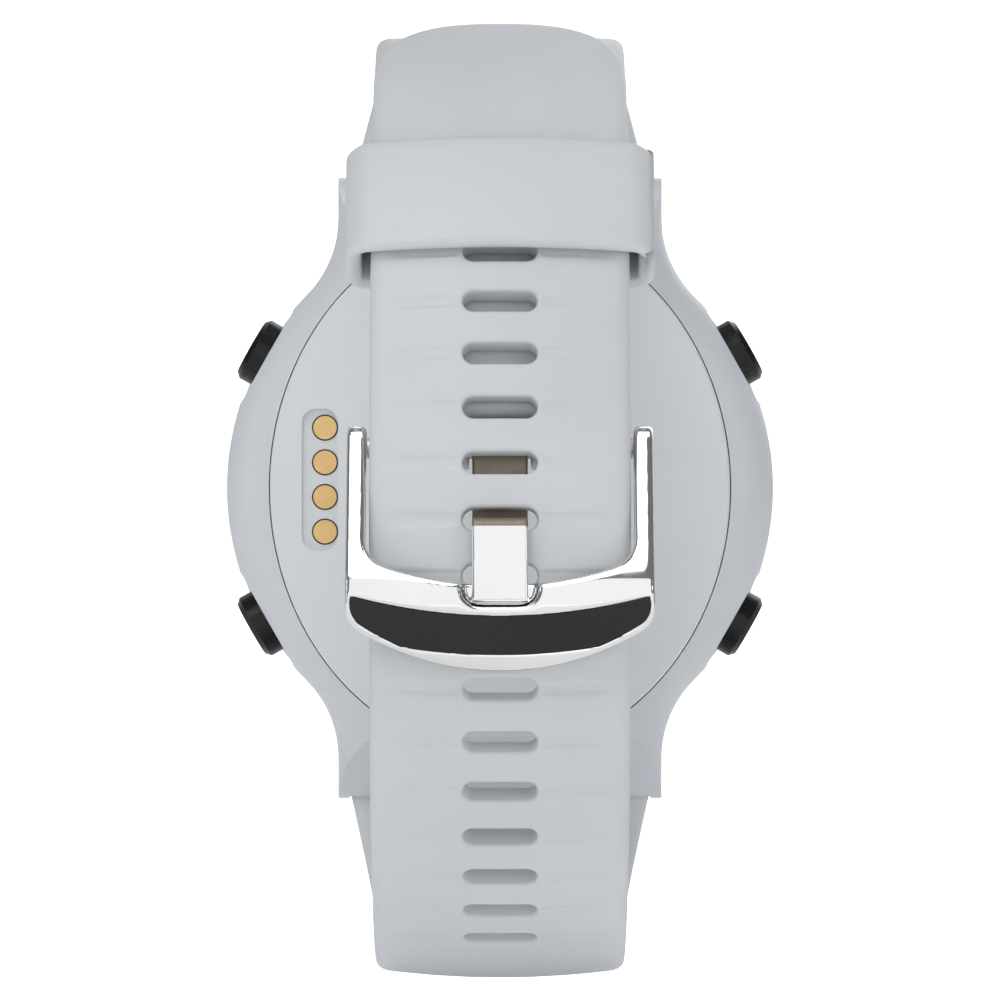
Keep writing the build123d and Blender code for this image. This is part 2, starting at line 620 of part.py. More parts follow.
with BuildPart() as display_panel:
    with BuildSketch(depth_plane(FRAME_FLOOR_BACK + FRAME_FLOOR)):
        Circle(PANEL_RADIUS)
    extrude(amount=-PANEL_THICKNESS)
display_panel.part.label = "display_panel"
export_step(display_panel.part, "parts/display_panel.step")

with BuildPart() as crystal_gasket:
    with BuildSketch(depth_plane(CRYSTAL_BACK)):
        Circle(GASKET_OUTER)
        Circle(CRYSTAL_RADIUS, mode=Mode.SUBTRACT)
    extrude(amount=-CRYSTAL_THICKNESS)
crystal_gasket.part.label = "crystal_gasket"
export_step(crystal_gasket.part, "parts/crystal_gasket.step")

with BuildPart() as crystal:
    with BuildSketch(depth_plane(CRYSTAL_BACK)):
        Circle(CRYSTAL_RADIUS)
    extrude(amount=-CRYSTAL_THICKNESS)
crystal.part.label = "crystal"
export_step(crystal.part, "parts/crystal.step")

# Turned ring that holds the crystal down on the mid-case, with a spigot inside it.
with BuildPart() as bezel:
    with BuildSketch(Plane.XY) as ring:
        with BuildLine():
            Polyline(
                (GASKET_OUTER, BODY_FRONT - BEZEL_LIP),
                (CAVITY_RADIUS - SEAT_GAP, BODY_FRONT - BEZEL_LIP),
                (CAVITY_RADIUS - SEAT_GAP, BODY_FRONT),
                (BEZEL_RADIUS, BODY_FRONT),
                (BEZEL_RADIUS, BEZEL_FRONT - BEZEL_CHAMFER),
                (BEZEL_RADIUS - BEZEL_CHAMFER, BEZEL_FRONT),
                (CRYSTAL_RADIUS - BEZEL_LIP_REACH, BEZEL_FRONT),
                (CRYSTAL_RADIUS - BEZEL_LIP_REACH, CRYSTAL_FRONT),
                (GASKET_OUTER, CRYSTAL_FRONT),
                close=True,
            )
        make_face()
    revolve(axis=Axis.Y)
bezel.part.label = "bezel"
export_step(bezel.part, "parts/bezel.step")

# ---------------------------------------------------------------- buttons
# Guide tubes pressed into the case wall, one per button.
with BuildPart() as button_tubes:
    for place in BUTTONS.values():
        with Locations(button_axis(place, TUBE_END)):
            Cylinder(STEM_RADIUS + RUNNING_GAP + TUBE_WALL, SPOT_FACE - TUBE_END, align=UP)
            Cylinder(STEM_RADIUS + RUNNING_GAP, CASE_WALL, align=UP, mode=Mode.SUBTRACT)
button_tubes.part.label = "button_tubes"
export_step(button_tubes.part, "parts/button_tubes.step")

SEAL_PLACE = (TUBE_END + SPOT_FACE) / 2
for name, place in BUTTONS.items():
    # Drum cap turned in one with its stem, grooved for the seal and the clip.
    with BuildPart() as button:
        with Locations(button_axis(place, CAP_SEAT)):
            Cylinder(BUTTON_RADIUS, BUTTON_HEIGHT, align=UP)
        outward = Axis((0, 0, 0), button_axis(place, 0).z_dir)
        chamfer(button.faces().sort_by(outward)[-1].edges(), BUTTON_CHAMFER)
        with Locations(button_axis(place, STEM_TIP)):
            Cylinder(STEM_RADIUS, CAP_SEAT - STEM_TIP, align=UP)
        for groove, width, deep in (
            (SEAL_PLACE, SEAL_CORD, SEAL_CORD),
            (CLIP_END, CLIP_THICKNESS, CLIP_WALL / 2),
        ):
            with Locations(button_axis(place, groove)):
                Cylinder(STEM_RADIUS, width, align=UP, mode=Mode.SUBTRACT)
                Cylinder(STEM_RADIUS - deep, width, align=UP)
    button.part.label = f"button_{name}"
    export_step(button.part, f"parts/button_{name}.step")

    with BuildPart() as button_seal:
        with Locations(button_axis(place, SEAL_PLACE)):
            Cylinder(STEM_RADIUS, SEAL_CORD, align=UP)
            Cylinder(STEM_RADIUS - SEAL_CORD, SEAL_CORD, align=UP, mode=Mode.SUBTRACT)
    button_seal.part.label = f"button_seal_{name}"
    export_step(button_seal.part, f"parts/button_seal_{name}.step")

    # Open retaining clip that stops the button from leaving its tube.
    with BuildPart() as button_clip:
        with Locations(button_axis(place, CLIP_END)):
            Cylinder(STEM_RADIUS + CLIP_WALL, CLIP_THICKNESS, align=UP)
            Cylinder(STEM_RADIUS - CLIP_WALL / 2, CLIP_THICKNESS, align=UP, mode=Mode.SUBTRACT)
            with Locations((0, STEM_RADIUS, 0)):
                Box(STEM_RADIUS, 2 * STEM_RADIUS, CLIP_THICKNESS, align=UP, mode=Mode.SUBTRACT)
    button_clip.part.label = f"button_clip_{name}"
    export_step(button_clip.part, f"parts/button_clip_{name}.step")

# ---------------------------------------------------------------- lug pins
for name, end in (("upper", 1), ("lower", -1)):
    with BuildPart() as lug_pin:
        for radius, half in (
            (LUG_PIN_RADIUS, POCKET_HALF - RUNNING_GAP),
            (LUG_TIP_RADIUS, EAR_OUTER - SKIN - RUNNING_GAP),
        ):
            with BuildSketch(Plane.YZ):
                with Locations((LUG_PIN_DEPTH, end * LUG_PIN_Z)):
                    Circle(radius)
            extrude(amount=half, both=True)
    lug_pin.part.label = f"lug_pin_{name}"
    export_step(lug_pin.part, f"parts/lug_pin_{name}.step")

# ---------------------------------------------------------------- long strap
# From the lower lugs round the bottom, up through the buckle and the keeper.
TAIL_ANGLE = strap_angle(TAIL_TIP)
with BuildPart() as strap_long:
    with BuildSketch(Plane.YZ):
        add(root_bend(-1))
    extrude(amount=STRAP_ROOT_WIDTH / 2, both=True)
    with BuildSketch(Plane.XZ.offset(-2 * BEND_RADIUS)):
        add(root_taper(-1))
    extrude(amount=4 * BEND_RADIUS, mode=Mode.SUBTRACT)
    with BuildSketch(Plane.YZ):
        add(ring_sector(LOW_CENTER, LOW_RADIUS, LOW_RADIUS - STRAP_THICKNESS, -90, 0))
        inner = LONG_RADIUS - STRAP_THICKNESS
        add(ring_sector(FRONT_CENTER, LONG_RADIUS, inner, 0, TAIL_ANGLE))
    extrude(amount=HALF_WIDTH, both=True)
    # the tail's end is cut round
    with BuildSketch(strap_plane(TAIL_TIP - TAIL_ROUND)):
        with Locations((0, TAIL_ROUND)):
            Rectangle(2 * STRAP_WIDTH, 2 * TAIL_ROUND)
        RectangleRounded(STRAP_WIDTH, 2 * TAIL_ROUND, TAIL_CORNER, mode=Mode.SUBTRACT)
    extrude(amount=2 * STRAP_THICKNESS, both=True, mode=Mode.SUBTRACT)
    for slot in range(LOWEST_SLOT, HIGHEST_SLOT + 1):
        with BuildSketch(strap_plane(FIRST_SLOT + slot * SLOT_PITCH)):
            SlotOverall(SLOT_LENGTH, SLOT_HEIGHT)
        extrude(amount=2 * STRAP_THICKNESS, both=True, mode=Mode.SUBTRACT)
strap_long.part.label = "strap_long"
export_step(strap_long.part, "parts/strap_long.step")

# ---------------------------------------------------------------- short strap
# From the upper lugs over the top and down, under the long strap, to the buckle bar.
BAR_ANGLE = strap_angle(BAR_PLACE)
BAR = arc_point(FRONT_CENTER, BAR_PATH, BAR_ANGLE)
with BuildPart() as strap_short:
    with BuildSketch(Plane.YZ):
        add(root_bend(1))
    extrude(amount=STRAP_ROOT_WIDTH / 2, both=True)
    with BuildSketch(Plane.XZ.offset(-2 * BEND_RADIUS)):
        add(root_taper(1))
    extrude(amount=4 * BEND_RADIUS, mode=Mode.SUBTRACT)
    with BuildSketch(Plane.YZ):
        inner = SHORT_RADIUS - STRAP_THICKNESS
        add(ring_sector(FRONT_CENTER, SHORT_RADIUS, inner, BAR_ANGLE, TOP_JOIN))
        inner = BEND_RADIUS - STRAP_THICKNESS
        add(ring_sector(TOP_BEND, BEND_RADIUS, inner, TOP_JOIN, 90))
        with Locations(BAR):
            Circle(BAR_BARREL)
            Circle(BAR_RADIUS + RUNNING_GAP, mode=Mode.SUBTRACT)
    extrude(amount=HALF_WIDTH, both=True)
    # gap in the barrel for the tongue's eye
    with BuildSketch(Plane.YZ):
        with Locations(BAR):
            Circle(BAR_BARREL + SOFT_GAP)
    extrude(amount=TONGUE_WIDTH / 2 + SOFT_GAP, both=True, mode=Mode.SUBTRACT)
strap_short.part.label = "strap_short"
export_step(strap_short.part, "parts/strap_short.step")

# ---------------------------------------------------------------- buckle
with BuildPart() as buckle_bar:
    for radius, half in (
        (BAR_RADIUS, LEG_INNER - RUNNING_GAP),
        (BAR_TIP_RADIUS, LEG_OUTER - SKIN - RUNNING_GAP),
    ):
        with BuildSketch(Plane.YZ):
            with Locations(BAR):
                Circle(radius)
        extrude(amount=half, both=True)
buckle_bar.part.label = "buckle_bar"
export_step(buckle_bar.part, "parts/buckle_bar.step")


CROSSBAR_LOWEST = CROSSBAR_BOTTOM + CROSSBAR_BELLY + OVERRUN
CROSSBAR_END = -degrees(asin(CROSSBAR_LOWEST / LOW_RADIUS))
FRAME_FRONT = depth_plane(-(LOOP_DEPTH + 2 * CROSSBAR_THICKNESS))
INLAY_BOTTOM = INLAY_TOP + INLAY_HEIGHT

# Thin black enamel band in the crossbar's face.
with BuildPart() as buckle_inlay:
    with BuildSketch(Plane.YZ):
        floor = CROSSBAR_OUTER - INLAY_THICKNESS
        add(ring_sector(LOW_CENTER, CROSSBAR_OUTER, floor, CROSSBAR_END, 0))
    extrude(amount=LEG_OUTER, both=True)
    with BuildSketch(FRAME_FRONT):
        bottom = CROSSBAR_BOTTOM - INLAY_MARGIN
        half = LEG_OUTER - INLAY_MARGIN
        add(above_arc(bottom, CROSSBAR_BELLY, half, FRAME_CORNER - INLAY_MARGIN))
        add(above_arc(INLAY_BOTTOM, INLAY_SAG, LEG_OUTER, INLAY_MARGIN), mode=Mode.INTERSECT)
        add(above_arc(INLAY_TOP, INLAY_SAG, LEG_OUTER, INLAY_MARGIN), mode=Mode.SUBTRACT)
    extrude(amount=-LOOP_DEPTH, mode=Mode.INTERSECT)
buckle_inlay.part.label = "buckle_inlay"
export_step(buckle_inlay.part, "parts/buckle_inlay.step")

# Frame: two legs from the bar past the long strap's edges, bent into a curved crossbar
# in front of it, with a notch for the tongue's tip and a shallow recess for the inlay.
FOOT_OUTER = Vector(*arc_point(LOW_CENTER, CROSSBAR_OUTER, 0))
FOOT_INNER = Vector(*arc_point(LOW_CENTER, CROSSBAR_INNER, 0))
LEG_SIDE = (Vector(*BAR) - FOOT_OUTER).normalized().rotate(Axis.Z, 90) * LEG_END_RADIUS
with BuildPart() as buckle_frame:
    with BuildSketch(Plane.YZ) as profile:
        Polygon(FOOT_INNER, Vector(*BAR) - LEG_SIDE, Vector(*BAR) + LEG_SIDE, FOOT_OUTER, align=None)
        add(ring_sector(LOW_CENTER, CROSSBAR_OUTER, CROSSBAR_INNER, CROSSBAR_END, 0))
        for foot, radius in ((FOOT_OUTER, KNEE_OUTER), (FOOT_INNER, KNEE_INNER)):
            fillet(profile.vertices().sort_by_distance(foot)[0], radius)
        with Locations(BAR):
            Circle(LEG_END_RADIUS)
    extrude(amount=LEG_OUTER, both=True)
    # trimmed to the back view: legs from the bar down, the crossbar between its arcs
    with BuildSketch(FRAME_FRONT):
        add(above_arc(CROSSBAR_BOTTOM, CROSSBAR_BELLY, LEG_OUTER, FRAME_CORNER))
        add(above_arc(CROSSBAR_TOP, CROSSBAR_SAG, LEG_INNER, LEG_FILLET), mode=Mode.SUBTRACT)
    extrude(amount=-LOOP_DEPTH, mode=Mode.INTERSECT)
    # room for the long strap above its foremost point
    with BuildSketch(Plane.YZ):
        add(ring_sector(FRONT_CENTER, KEEPER_OUTER, SHORT_RADIUS, 0, BAR_ANGLE))
    extrude(amount=LEG_INNER, both=True, mode=Mode.SUBTRACT)
    # notch for the tongue
    with BuildSketch(FRAME_FRONT):
        with Locations((0, FRONT_Z - NOTCH_BOTTOM + NOTCH_HEIGHT / 2)):
            RectangleRounded(NOTCH_WIDTH, NOTCH_HEIGHT, NOTCH_CORNER)
    extrude(amount=SOFT_GAP - CROSSBAR_THICKNESS - NOTCH_DEPTH, mode=Mode.SUBTRACT)
    # bores for the bar's tips
    with BuildSketch(Plane.YZ):
        with Locations(BAR):
            Circle(BAR_TIP_RADIUS + RUNNING_GAP)
    extrude(amount=LEG_OUTER - SKIN, both=True, mode=Mode.SUBTRACT)
    # recess for the inlay
    add(buckle_inlay.part, mode=Mode.SUBTRACT)
buckle_frame.part.label = "buckle_frame"
export_step(buckle_frame.part, "parts/buckle_frame.step")

# Tongue: an eye round the bar, a strip under the long strap, up through its slot,
# and a flat end that lies in the crossbar's notch.
SLOT_ANGLE = strap_angle(FIRST_SLOT + TONGUE_SLOT * SLOT_PITCH - TONGUE_LOW)
STRIP_PATH = LONG_RADIUS - STRAP_THICKNESS - TONGUE_SWING - TONGUE_THICKNESS / 2
PAD_PATH = CROSSBAR_OUTER - NOTCH_DEPTH + SEAT_GAP + TONGUE_THICKNESS / 2
PAD_ANGLE = -degrees(asin(TONGUE_END / PAD_PATH))
with BuildPart() as buckle_tongue:
    with BuildSketch(Plane.YZ):
        with BuildLine():
            FilletPolyline(
                arc_point(FRONT_CENTER, STRIP_PATH, BAR_ANGLE),
                arc_point(FRONT_CENTER, STRIP_PATH, SLOT_ANGLE),
                arc_point(FRONT_CENTER, LONG_RADIUS + TONGUE_LIFT, SLOT_ANGLE),
                arc_point(LOW_CENTER, PAD_PATH, PAD_ANGLE),
                radius=TONGUE_BEND,
            )
        trace(line_width=TONGUE_THICKNESS)
        with Locations(BAR):
            Circle(BAR_RADIUS + RUNNING_GAP + TONGUE_EYE_WALL)
            Circle(BAR_RADIUS + RUNNING_GAP, mode=Mode.SUBTRACT)
    extrude(amount=TONGUE_WIDTH / 2, both=True)
buckle_tongue.part.label = "buckle_tongue"
export_step(buckle_tongue.part, "parts/buckle_tongue.step")

# ---------------------------------------------------------------- keeper
# Moulded loop round both straps; it slides along them about the front arc's centre.
KEEPER_LOW = strap_angle(KEEPER_PLACE - KEEPER_LENGTH / 2)
KEEPER_HIGH = strap_angle(KEEPER_PLACE + KEEPER_LENGTH / 2)
with BuildPart() as keeper:
    with BuildSketch(Plane.YZ):
        outer = KEEPER_OUTER + KEEPER_WALL
        inner = KEEPER_INNER - KEEPER_WALL
        add(ring_sector(FRONT_CENTER, outer, inner, KEEPER_LOW, KEEPER_HIGH))
    extrude(amount=KEEPER_HALF + KEEPER_WALL, both=True)
    fillet(keeper.edges().filter_by(GeomType.CIRCLE), KEEPER_CORNER)
    with BuildSketch(Plane.YZ):
        low = KEEPER_LOW - OVERRUN
        high = KEEPER_HIGH + OVERRUN
        add(ring_sector(FRONT_CENTER, KEEPER_OUTER, KEEPER_INNER, low, high))
    extrude(amount=KEEPER_HALF, both=True, mode=Mode.SUBTRACT)
keeper.part.label = "keeper"
export_step(keeper.part, "parts/keeper.step")
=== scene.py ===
import json
from math import asin, ceil, cos, degrees, hypot, radians, sin, sqrt

import bmesh
import bpy
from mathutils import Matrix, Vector
from mathutils.bvhtree import BVHTree


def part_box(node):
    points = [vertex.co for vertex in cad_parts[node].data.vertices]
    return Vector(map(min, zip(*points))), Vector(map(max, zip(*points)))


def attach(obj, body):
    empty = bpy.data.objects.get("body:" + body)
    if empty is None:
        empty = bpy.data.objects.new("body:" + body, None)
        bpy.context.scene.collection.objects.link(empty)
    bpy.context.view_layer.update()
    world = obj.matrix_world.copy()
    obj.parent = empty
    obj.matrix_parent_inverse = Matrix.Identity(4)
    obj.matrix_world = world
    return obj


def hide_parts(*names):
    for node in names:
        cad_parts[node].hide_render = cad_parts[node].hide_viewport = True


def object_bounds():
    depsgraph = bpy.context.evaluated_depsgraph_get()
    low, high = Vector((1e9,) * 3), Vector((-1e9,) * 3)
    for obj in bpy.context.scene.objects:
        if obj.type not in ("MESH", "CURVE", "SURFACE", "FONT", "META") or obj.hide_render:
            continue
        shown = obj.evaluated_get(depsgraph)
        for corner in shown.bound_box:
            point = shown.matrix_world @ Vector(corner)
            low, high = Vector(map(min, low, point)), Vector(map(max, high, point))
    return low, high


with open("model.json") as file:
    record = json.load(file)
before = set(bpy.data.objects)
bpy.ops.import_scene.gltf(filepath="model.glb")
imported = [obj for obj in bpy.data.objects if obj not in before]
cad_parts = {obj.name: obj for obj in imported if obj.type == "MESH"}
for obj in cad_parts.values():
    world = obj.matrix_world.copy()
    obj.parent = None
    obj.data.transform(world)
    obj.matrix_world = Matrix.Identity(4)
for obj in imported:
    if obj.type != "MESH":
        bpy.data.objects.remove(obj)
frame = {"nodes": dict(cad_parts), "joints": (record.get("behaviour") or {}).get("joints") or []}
cad_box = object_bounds()
scene = bpy.context.scene

# ---------------------------------------------------------------- studio
# A seamless pale sweep under and behind the watch, broad soft lamps in front of it
# and above it, and a long lens that looks level along +Y at the inside of the loop.
MM = 0.001
CAMERA_PLACE = (0.0, -0.574, -0.0011)
LENS = 227.6
SWEEP_COLOR = (0.93, 0.93, 0.93)
SWEEP_GLOW = 0.22
SWEEP_WHITE = 1.0  # glow that only the camera sees, on top of that
SWEEP_HALF = 3.0
SWEEP_NEAR = -3.0
SWEEP_BACK = 1.6
SWEEP_RISE = 2.4
SWEEP_CORNER = 0.8
CORNER_STEPS = 24
FLOOR_GAP = 0.0005
SOFTBOXES = (  # name, place, size, watts, colour
    ("key", (-0.18, -0.52, 0.60), 0.50, 1.75, (1.0, 0.99, 0.97)),
    ("top", (0.04, -0.20, 0.80), 0.50, 1.2, (1.0, 1.0, 1.0)),
    ("front", (0.0, -0.95, 0.15), 0.72, 1.5, (1.0, 1.0, 1.0)),
    ("fill", (0.50, -0.55, 0.10), 0.30, 0.4, (0.95, 0.97, 1.0)),
    ("side", (-0.55, -0.20, 0.05), 0.30, 0.35, (0.95, 0.97, 1.0)),
    ("rear", (0.25, 0.60, 0.35), 0.60, 1.2, (1.0, 1.0, 1.0)),
)


def make_sweep():
    """Floor that curves up into a backdrop, on a rounded corner."""
    floor_z = cad_box[0].z - FLOOR_GAP
    line = [(SWEEP_NEAR, floor_z)]
    for step in range(CORNER_STEPS + 1):
        turn = radians(90) * step / CORNER_STEPS
        y = SWEEP_BACK - SWEEP_CORNER + SWEEP_CORNER * sin(turn)
        line.append((y, floor_z + SWEEP_CORNER * (1 - cos(turn))))
    line.append((SWEEP_BACK, SWEEP_RISE))
    points = [(x, y, z) for y, z in line for x in (-SWEEP_HALF, SWEEP_HALF)]
    faces = [(2 * i, 2 * i + 1, 2 * i + 3, 2 * i + 2) for i in range(len(line) - 1)]
    mesh = bpy.data.meshes.new("sweep")
    mesh.from_pydata(points, [], faces)
    mesh.shade_smooth()
    sweep = bpy.data.objects.new("sweep", mesh)
    scene.collection.objects.link(sweep)
    return sweep


sweep = make_sweep()
sweep_paint = bpy.data.materials.new("sweep_paint")
sweep_paint.use_nodes = True
sweep_shader = sweep_paint.node_tree.nodes["Principled BSDF"]
sweep_shader.inputs["Base Color"].default_value = (*SWEEP_COLOR, 1)
sweep_shader.inputs["Roughness"].default_value = 0.9
sweep_shader.inputs["Emission Color"].default_value = (1, 1, 1, 1)
sweep_ray = sweep_paint.node_tree.nodes.new("ShaderNodeLightPath")
sweep_glow = sweep_paint.node_tree.nodes.new("ShaderNodeMath")
sweep_glow.operation = "MULTIPLY_ADD"
sweep_glow.inputs[1].default_value = SWEEP_WHITE
sweep_glow.inputs[2].default_value = SWEEP_GLOW
sweep_paint.node_tree.links.new(sweep_ray.outputs["Is Camera Ray"], sweep_glow.inputs[0])
sweep_paint.node_tree.links.new(sweep_glow.outputs[0], sweep_shader.inputs["Emission Strength"])
sweep.data.materials.append(sweep_paint)

for name, place, size, watts, color in SOFTBOXES:
    lamp = bpy.data.lights.new(name, "AREA")
    lamp.shape = "SQUARE"
    lamp.size = size
    lamp.energy = watts
    lamp.color = color
    box = bpy.data.objects.new(name, lamp)
    box.location = place
    box.rotation_euler = (-Vector(place)).to_track_quat("-Z", "Y").to_euler()
    scene.collection.objects.link(box)

world = bpy.data.worlds.new("room")
world.use_nodes = True
world.node_tree.nodes["Background"].inputs["Color"].default_value = (0.86, 0.9, 0.95, 1)
world.node_tree.nodes["Background"].inputs["Strength"].default_value = 0.22
scene.world = world
scene.view_settings.view_transform = "Standard"

camera = bpy.data.objects.new("camera", bpy.data.cameras.new("camera"))
camera.data.lens = LENS
camera.data.sensor_width = 36.0
camera.data.clip_start = 0.01
camera.location = CAMERA_PLACE
camera.rotation_euler = (radians(90), 0, 0)
scene.collection.objects.link(camera)
scene.camera = camera

# ---------------------------------------------------------------- strap, long half
# One injection-moulded strip of white silicone rubber, pinned between the lower lugs.
# Its slots have rolled lips, a shallow rib groove runs on each side of every slot, and
# its outer face is slightly crowned with rounded edges.
joints = {j["name"]: j for j in frame["joints"]}
loop_low, loop_high = (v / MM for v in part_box("strap_long"))
front_y, front_z = (v / MM for v in joints["keeper_slide"]["pos_m"][1:])
LONG_RADIUS = front_y - loop_low.y
LOW_RADIUS = front_z - loop_low.z
BEND_Y = loop_low.y + LOW_RADIUS
BEND_RADIUS = loop_high.y - BEND_Y
STRAP_HALF = 11.0
STRAP_THICK = 2.4
ROOT_THICK = 3.5
ROOT_FLARE = loop_high.x - STRAP_HALF
PIN_SINK = 2.7
BARREL = 2.6
ROOT_DIP = 0.1  # how far the face drops towards the barrel, over DIP_LENGTH
DIP_LENGTH = 1.4
THIN_FROM = 3.0  # the root thins to the strap's thickness between these two lengths
THIN_TO = 24.0
CROWN = 0.75
CROWN_FROM = 6.0
CROWN_TO = 30.0
EDGE = 1.3
EDGE_POWER = 2.4
SLOT_CORE = 2.2
SLOT_RADIUS = 0.95
SLOT_PITCH = 4.8
SLOTS = 15
FIRST_SLOT = -37.94
LIP = 0.35
UNDER_LIP = 0.3
GROOVE_DEEP = 0.16
TAIL_END = 58.4
TAIL_ROUND = 9.5
TAIL_POWER = 3.0
CELL_HALF = SLOT_PITCH / 2
FLAT_HALF = STRAP_HALF - EDGE


def ease(low, high, value):
    """Smooth step from 0 to 1 between two values."""
    t = min(1.0, max(0.0, (value - low) / (high - low)))
    return t * t * (3 - 2 * t)


def arc_line(center, radius, start, end):
    """Side-view points along an arc, its angles in degrees up from the wrist side."""
    count = max(2, ceil(abs(end - start) / 0.75))
    turns = [radians(start + (end - start) * i / count) for i in range(count + 1)]
    return [(center[0] - radius * cos(a), center[1] + radius * sin(a)) for a in turns]


def path_curve(name, line):
    """Curve object through side-view points given in millimetres."""
    kept = [line[0]]
    for point in line[1:]:
        if hypot(point[0] - kept[-1][0], point[1] - kept[-1][1]) > 0.01:
            kept.append(point)
    curve = bpy.data.curves.new(name, "CURVE")
    curve.dimensions = "3D"
    spline = curve.splines.new("POLY")
    spline.points.add(len(kept) - 1)
    for spot, (y, z) in zip(spline.points, kept):
        spot.co = (0, y * MM, z * MM, 1)
    holder = bpy.data.objects.new(name, curve)
    scene.collection.objects.link(holder)
    return holder


def edge_share(depth, reach=EDGE):
    """How much of the half thickness is reached at a distance in from a rounded edge."""
    left = min(1.0, max(0.0, 1 - depth / reach))
    return (1 - left**EDGE_POWER) ** (1 / EDGE_POWER)


def edge_lanes(steps=6):
    """Distances in from a rounded edge that follow its curve evenly."""
    turns = [radians(90) * i / steps for i in range(steps + 1)]
    return [EDGE * (1 - cos(a) ** (2 / EDGE_POWER)) if a < 1.57 else EDGE for a in turns]


LANES = [-STRAP_HALF + d for d in edge_lanes()[:-1]]
LANES += [FLAT_HALF * (i / 13 - 1) for i in range(27)]
LANES += [STRAP_HALF - d for d in reversed(edge_lanes()[:-1])]


def skin(shape, stations, lanes, heights):
    """Closed sheet over lanes and stations: heights gives an outer and an inner height."""
    grids = [], []
    for s in stations:
        rows = [heights(x, s) for x in lanes(s)]
        for side in (0, 1):
            grids[side].append(
                [shape.verts.new((x * MM, s * MM, h[side] * MM)) for x, h in zip(lanes(s), rows)]
            )
    for side, grid in enumerate(grids):
        for i in range(len(grid) - 1):
            for j in range(len(grid[0]) - 1):
                quad = [grid[i][j], grid[i][j + 1], grid[i + 1][j + 1], grid[i + 1][j]]
                shape.faces.new(quad if side == 0 else reversed(quad))


def flat_piece(name, shape):
    """Object from a flat bmesh, with its doubles merged and its empty faces dropped."""
    bmesh.ops.remove_doubles(shape, verts=shape.verts, dist=0.004 * MM)
    bmesh.ops.dissolve_degenerate(shape, edges=shape.edges, dist=0.001 * MM)
    mesh = bpy.data.meshes.new(name)
    shape.to_mesh(mesh)
    shape.free()
    piece = bpy.data.objects.new(name, mesh)
    scene.collection.objects.link(piece)
    return piece


def root_shape(from_pin_end):
    """Outer and inner height of a strap's root, at a distance from the end of its barrel."""
    along = from_pin_end - BARREL
    bulge = sqrt(max(0.0, BARREL**2 - along**2))
    if along <= 0:
        return -PIN_SINK + bulge, -PIN_SINK - bulge
    thick = STRAP_THICK + (ROOT_THICK - STRAP_THICK) * (1 - ease(THIN_FROM, THIN_TO, from_pin_end))
    inner = min(-thick, -PIN_SINK - bulge) if along < BARREL else -thick
    return -ROOT_DIP * (1 - ease(0, DIP_LENGTH, along)), inner


def flare(bend_turn, first=9.0, last=60.0):
    """Half width of a root at an angle round its bend, in degrees from the lugs."""
    done = (sin(radians(bend_turn)) - sin(radians(first))) / (
        sin(radians(last)) - sin(radians(first))
    )
    return STRAP_HALF + ROOT_FLARE * (1 - min(1.0, max(0.0, done)))


pin_low = sum(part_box("lug_pin_lower"), Vector()).z / 2 / MM
pin_start = pin_low + BARREL
bend_low = loop_low.z + BEND_RADIUS
tail_turn = degrees(TAIL_END / LONG_RADIUS)
straight = pin_start - bend_low
FRONT_AT = straight + radians(90) * (BEND_RADIUS + LOW_RADIUS)
CELLS_FROM = FRONT_AT + FIRST_SLOT - CELL_HALF
CELLS_TO = CELLS_FROM + SLOTS * SLOT_PITCH
TAIL_TIP = FRONT_AT + TAIL_END
long_line = [(loop_high.y, pin_start)]
long_line += arc_line((BEND_Y, bend_low), BEND_RADIUS, 180, 270)
long_line += arc_line((BEND_Y, front_z), LOW_RADIUS, -90, 0)
long_line += arc_line((front_y, front_z), LONG_RADIUS, 0, tail_turn)
long_path = path_curve("long_path", long_line)


def long_half(s):
    """Half width of the long strap."""
    if s < CELLS_FROM:
        return flare(min(90.0, degrees(max(0.0, s - straight) / BEND_RADIUS)))
    past = s - (TAIL_TIP - TAIL_ROUND)
    left = max(0.0, 1 - (max(0.0, past) / TAIL_ROUND) ** TAIL_POWER)
    return STRAP_HALF * left ** (1 / TAIL_POWER)


def long_heights(x, s):
    """Outer and inner height of the long strap, away from its slots."""
    half = long_half(s)
    outer, inner = root_shape(s) if s < CELLS_FROM else (0.0, -STRAP_THICK)
    crown = CROWN * ease(CROWN_FROM, CROWN_TO, s)
    past = max(0.0, s - (TAIL_TIP - TAIL_ROUND))
    if past > 0:
        reach = (abs(x) / STRAP_HALF) ** TAIL_POWER + (past / TAIL_ROUND) ** TAIL_POWER
        reach = reach ** (1 / TAIL_POWER)
        depth = (1 - reach) * hypot(x, past) / max(reach, 1e-6)
        share = edge_share(depth)
        outer -= crown * (x / STRAP_HALF) ** 2
    else:
        share = edge_share(half - abs(x))
        outer -= crown * (x / half) ** 2
    middle = (outer + inner) / 2
    return middle + (outer - middle) * share, middle + (inner - middle) * share


def long_lanes(s):
    """Across positions at a station, squeezed or spread to the strap's width there."""
    return [x * long_half(s) / STRAP_HALF for x in LANES]


long_ends = bmesh.new()
root_stations = [BARREL * (1 - cos(radians(90) * i / 8)) for i in range(9)]
root_stations += [BARREL + 2.6 * i / 8 for i in range(1, 9)]
run = CELLS_FROM - root_stations[-1]
root_stations += [root_stations[-1] + run * i / 56 for i in range(1, 57)]
skin(long_ends, root_stations, long_lanes, long_heights)
tail_stations = [CELLS_TO + (TAIL_TIP - TAIL_ROUND - CELLS_TO) * i / 20 for i in range(21)]
tail_stations += [
    TAIL_TIP - TAIL_ROUND + TAIL_ROUND * sin(radians(90) * i / 22) for i in range(1, 23)
]
skin(long_ends, tail_stations, long_lanes, long_heights)
long_strap = flat_piece("long_strap", long_ends)


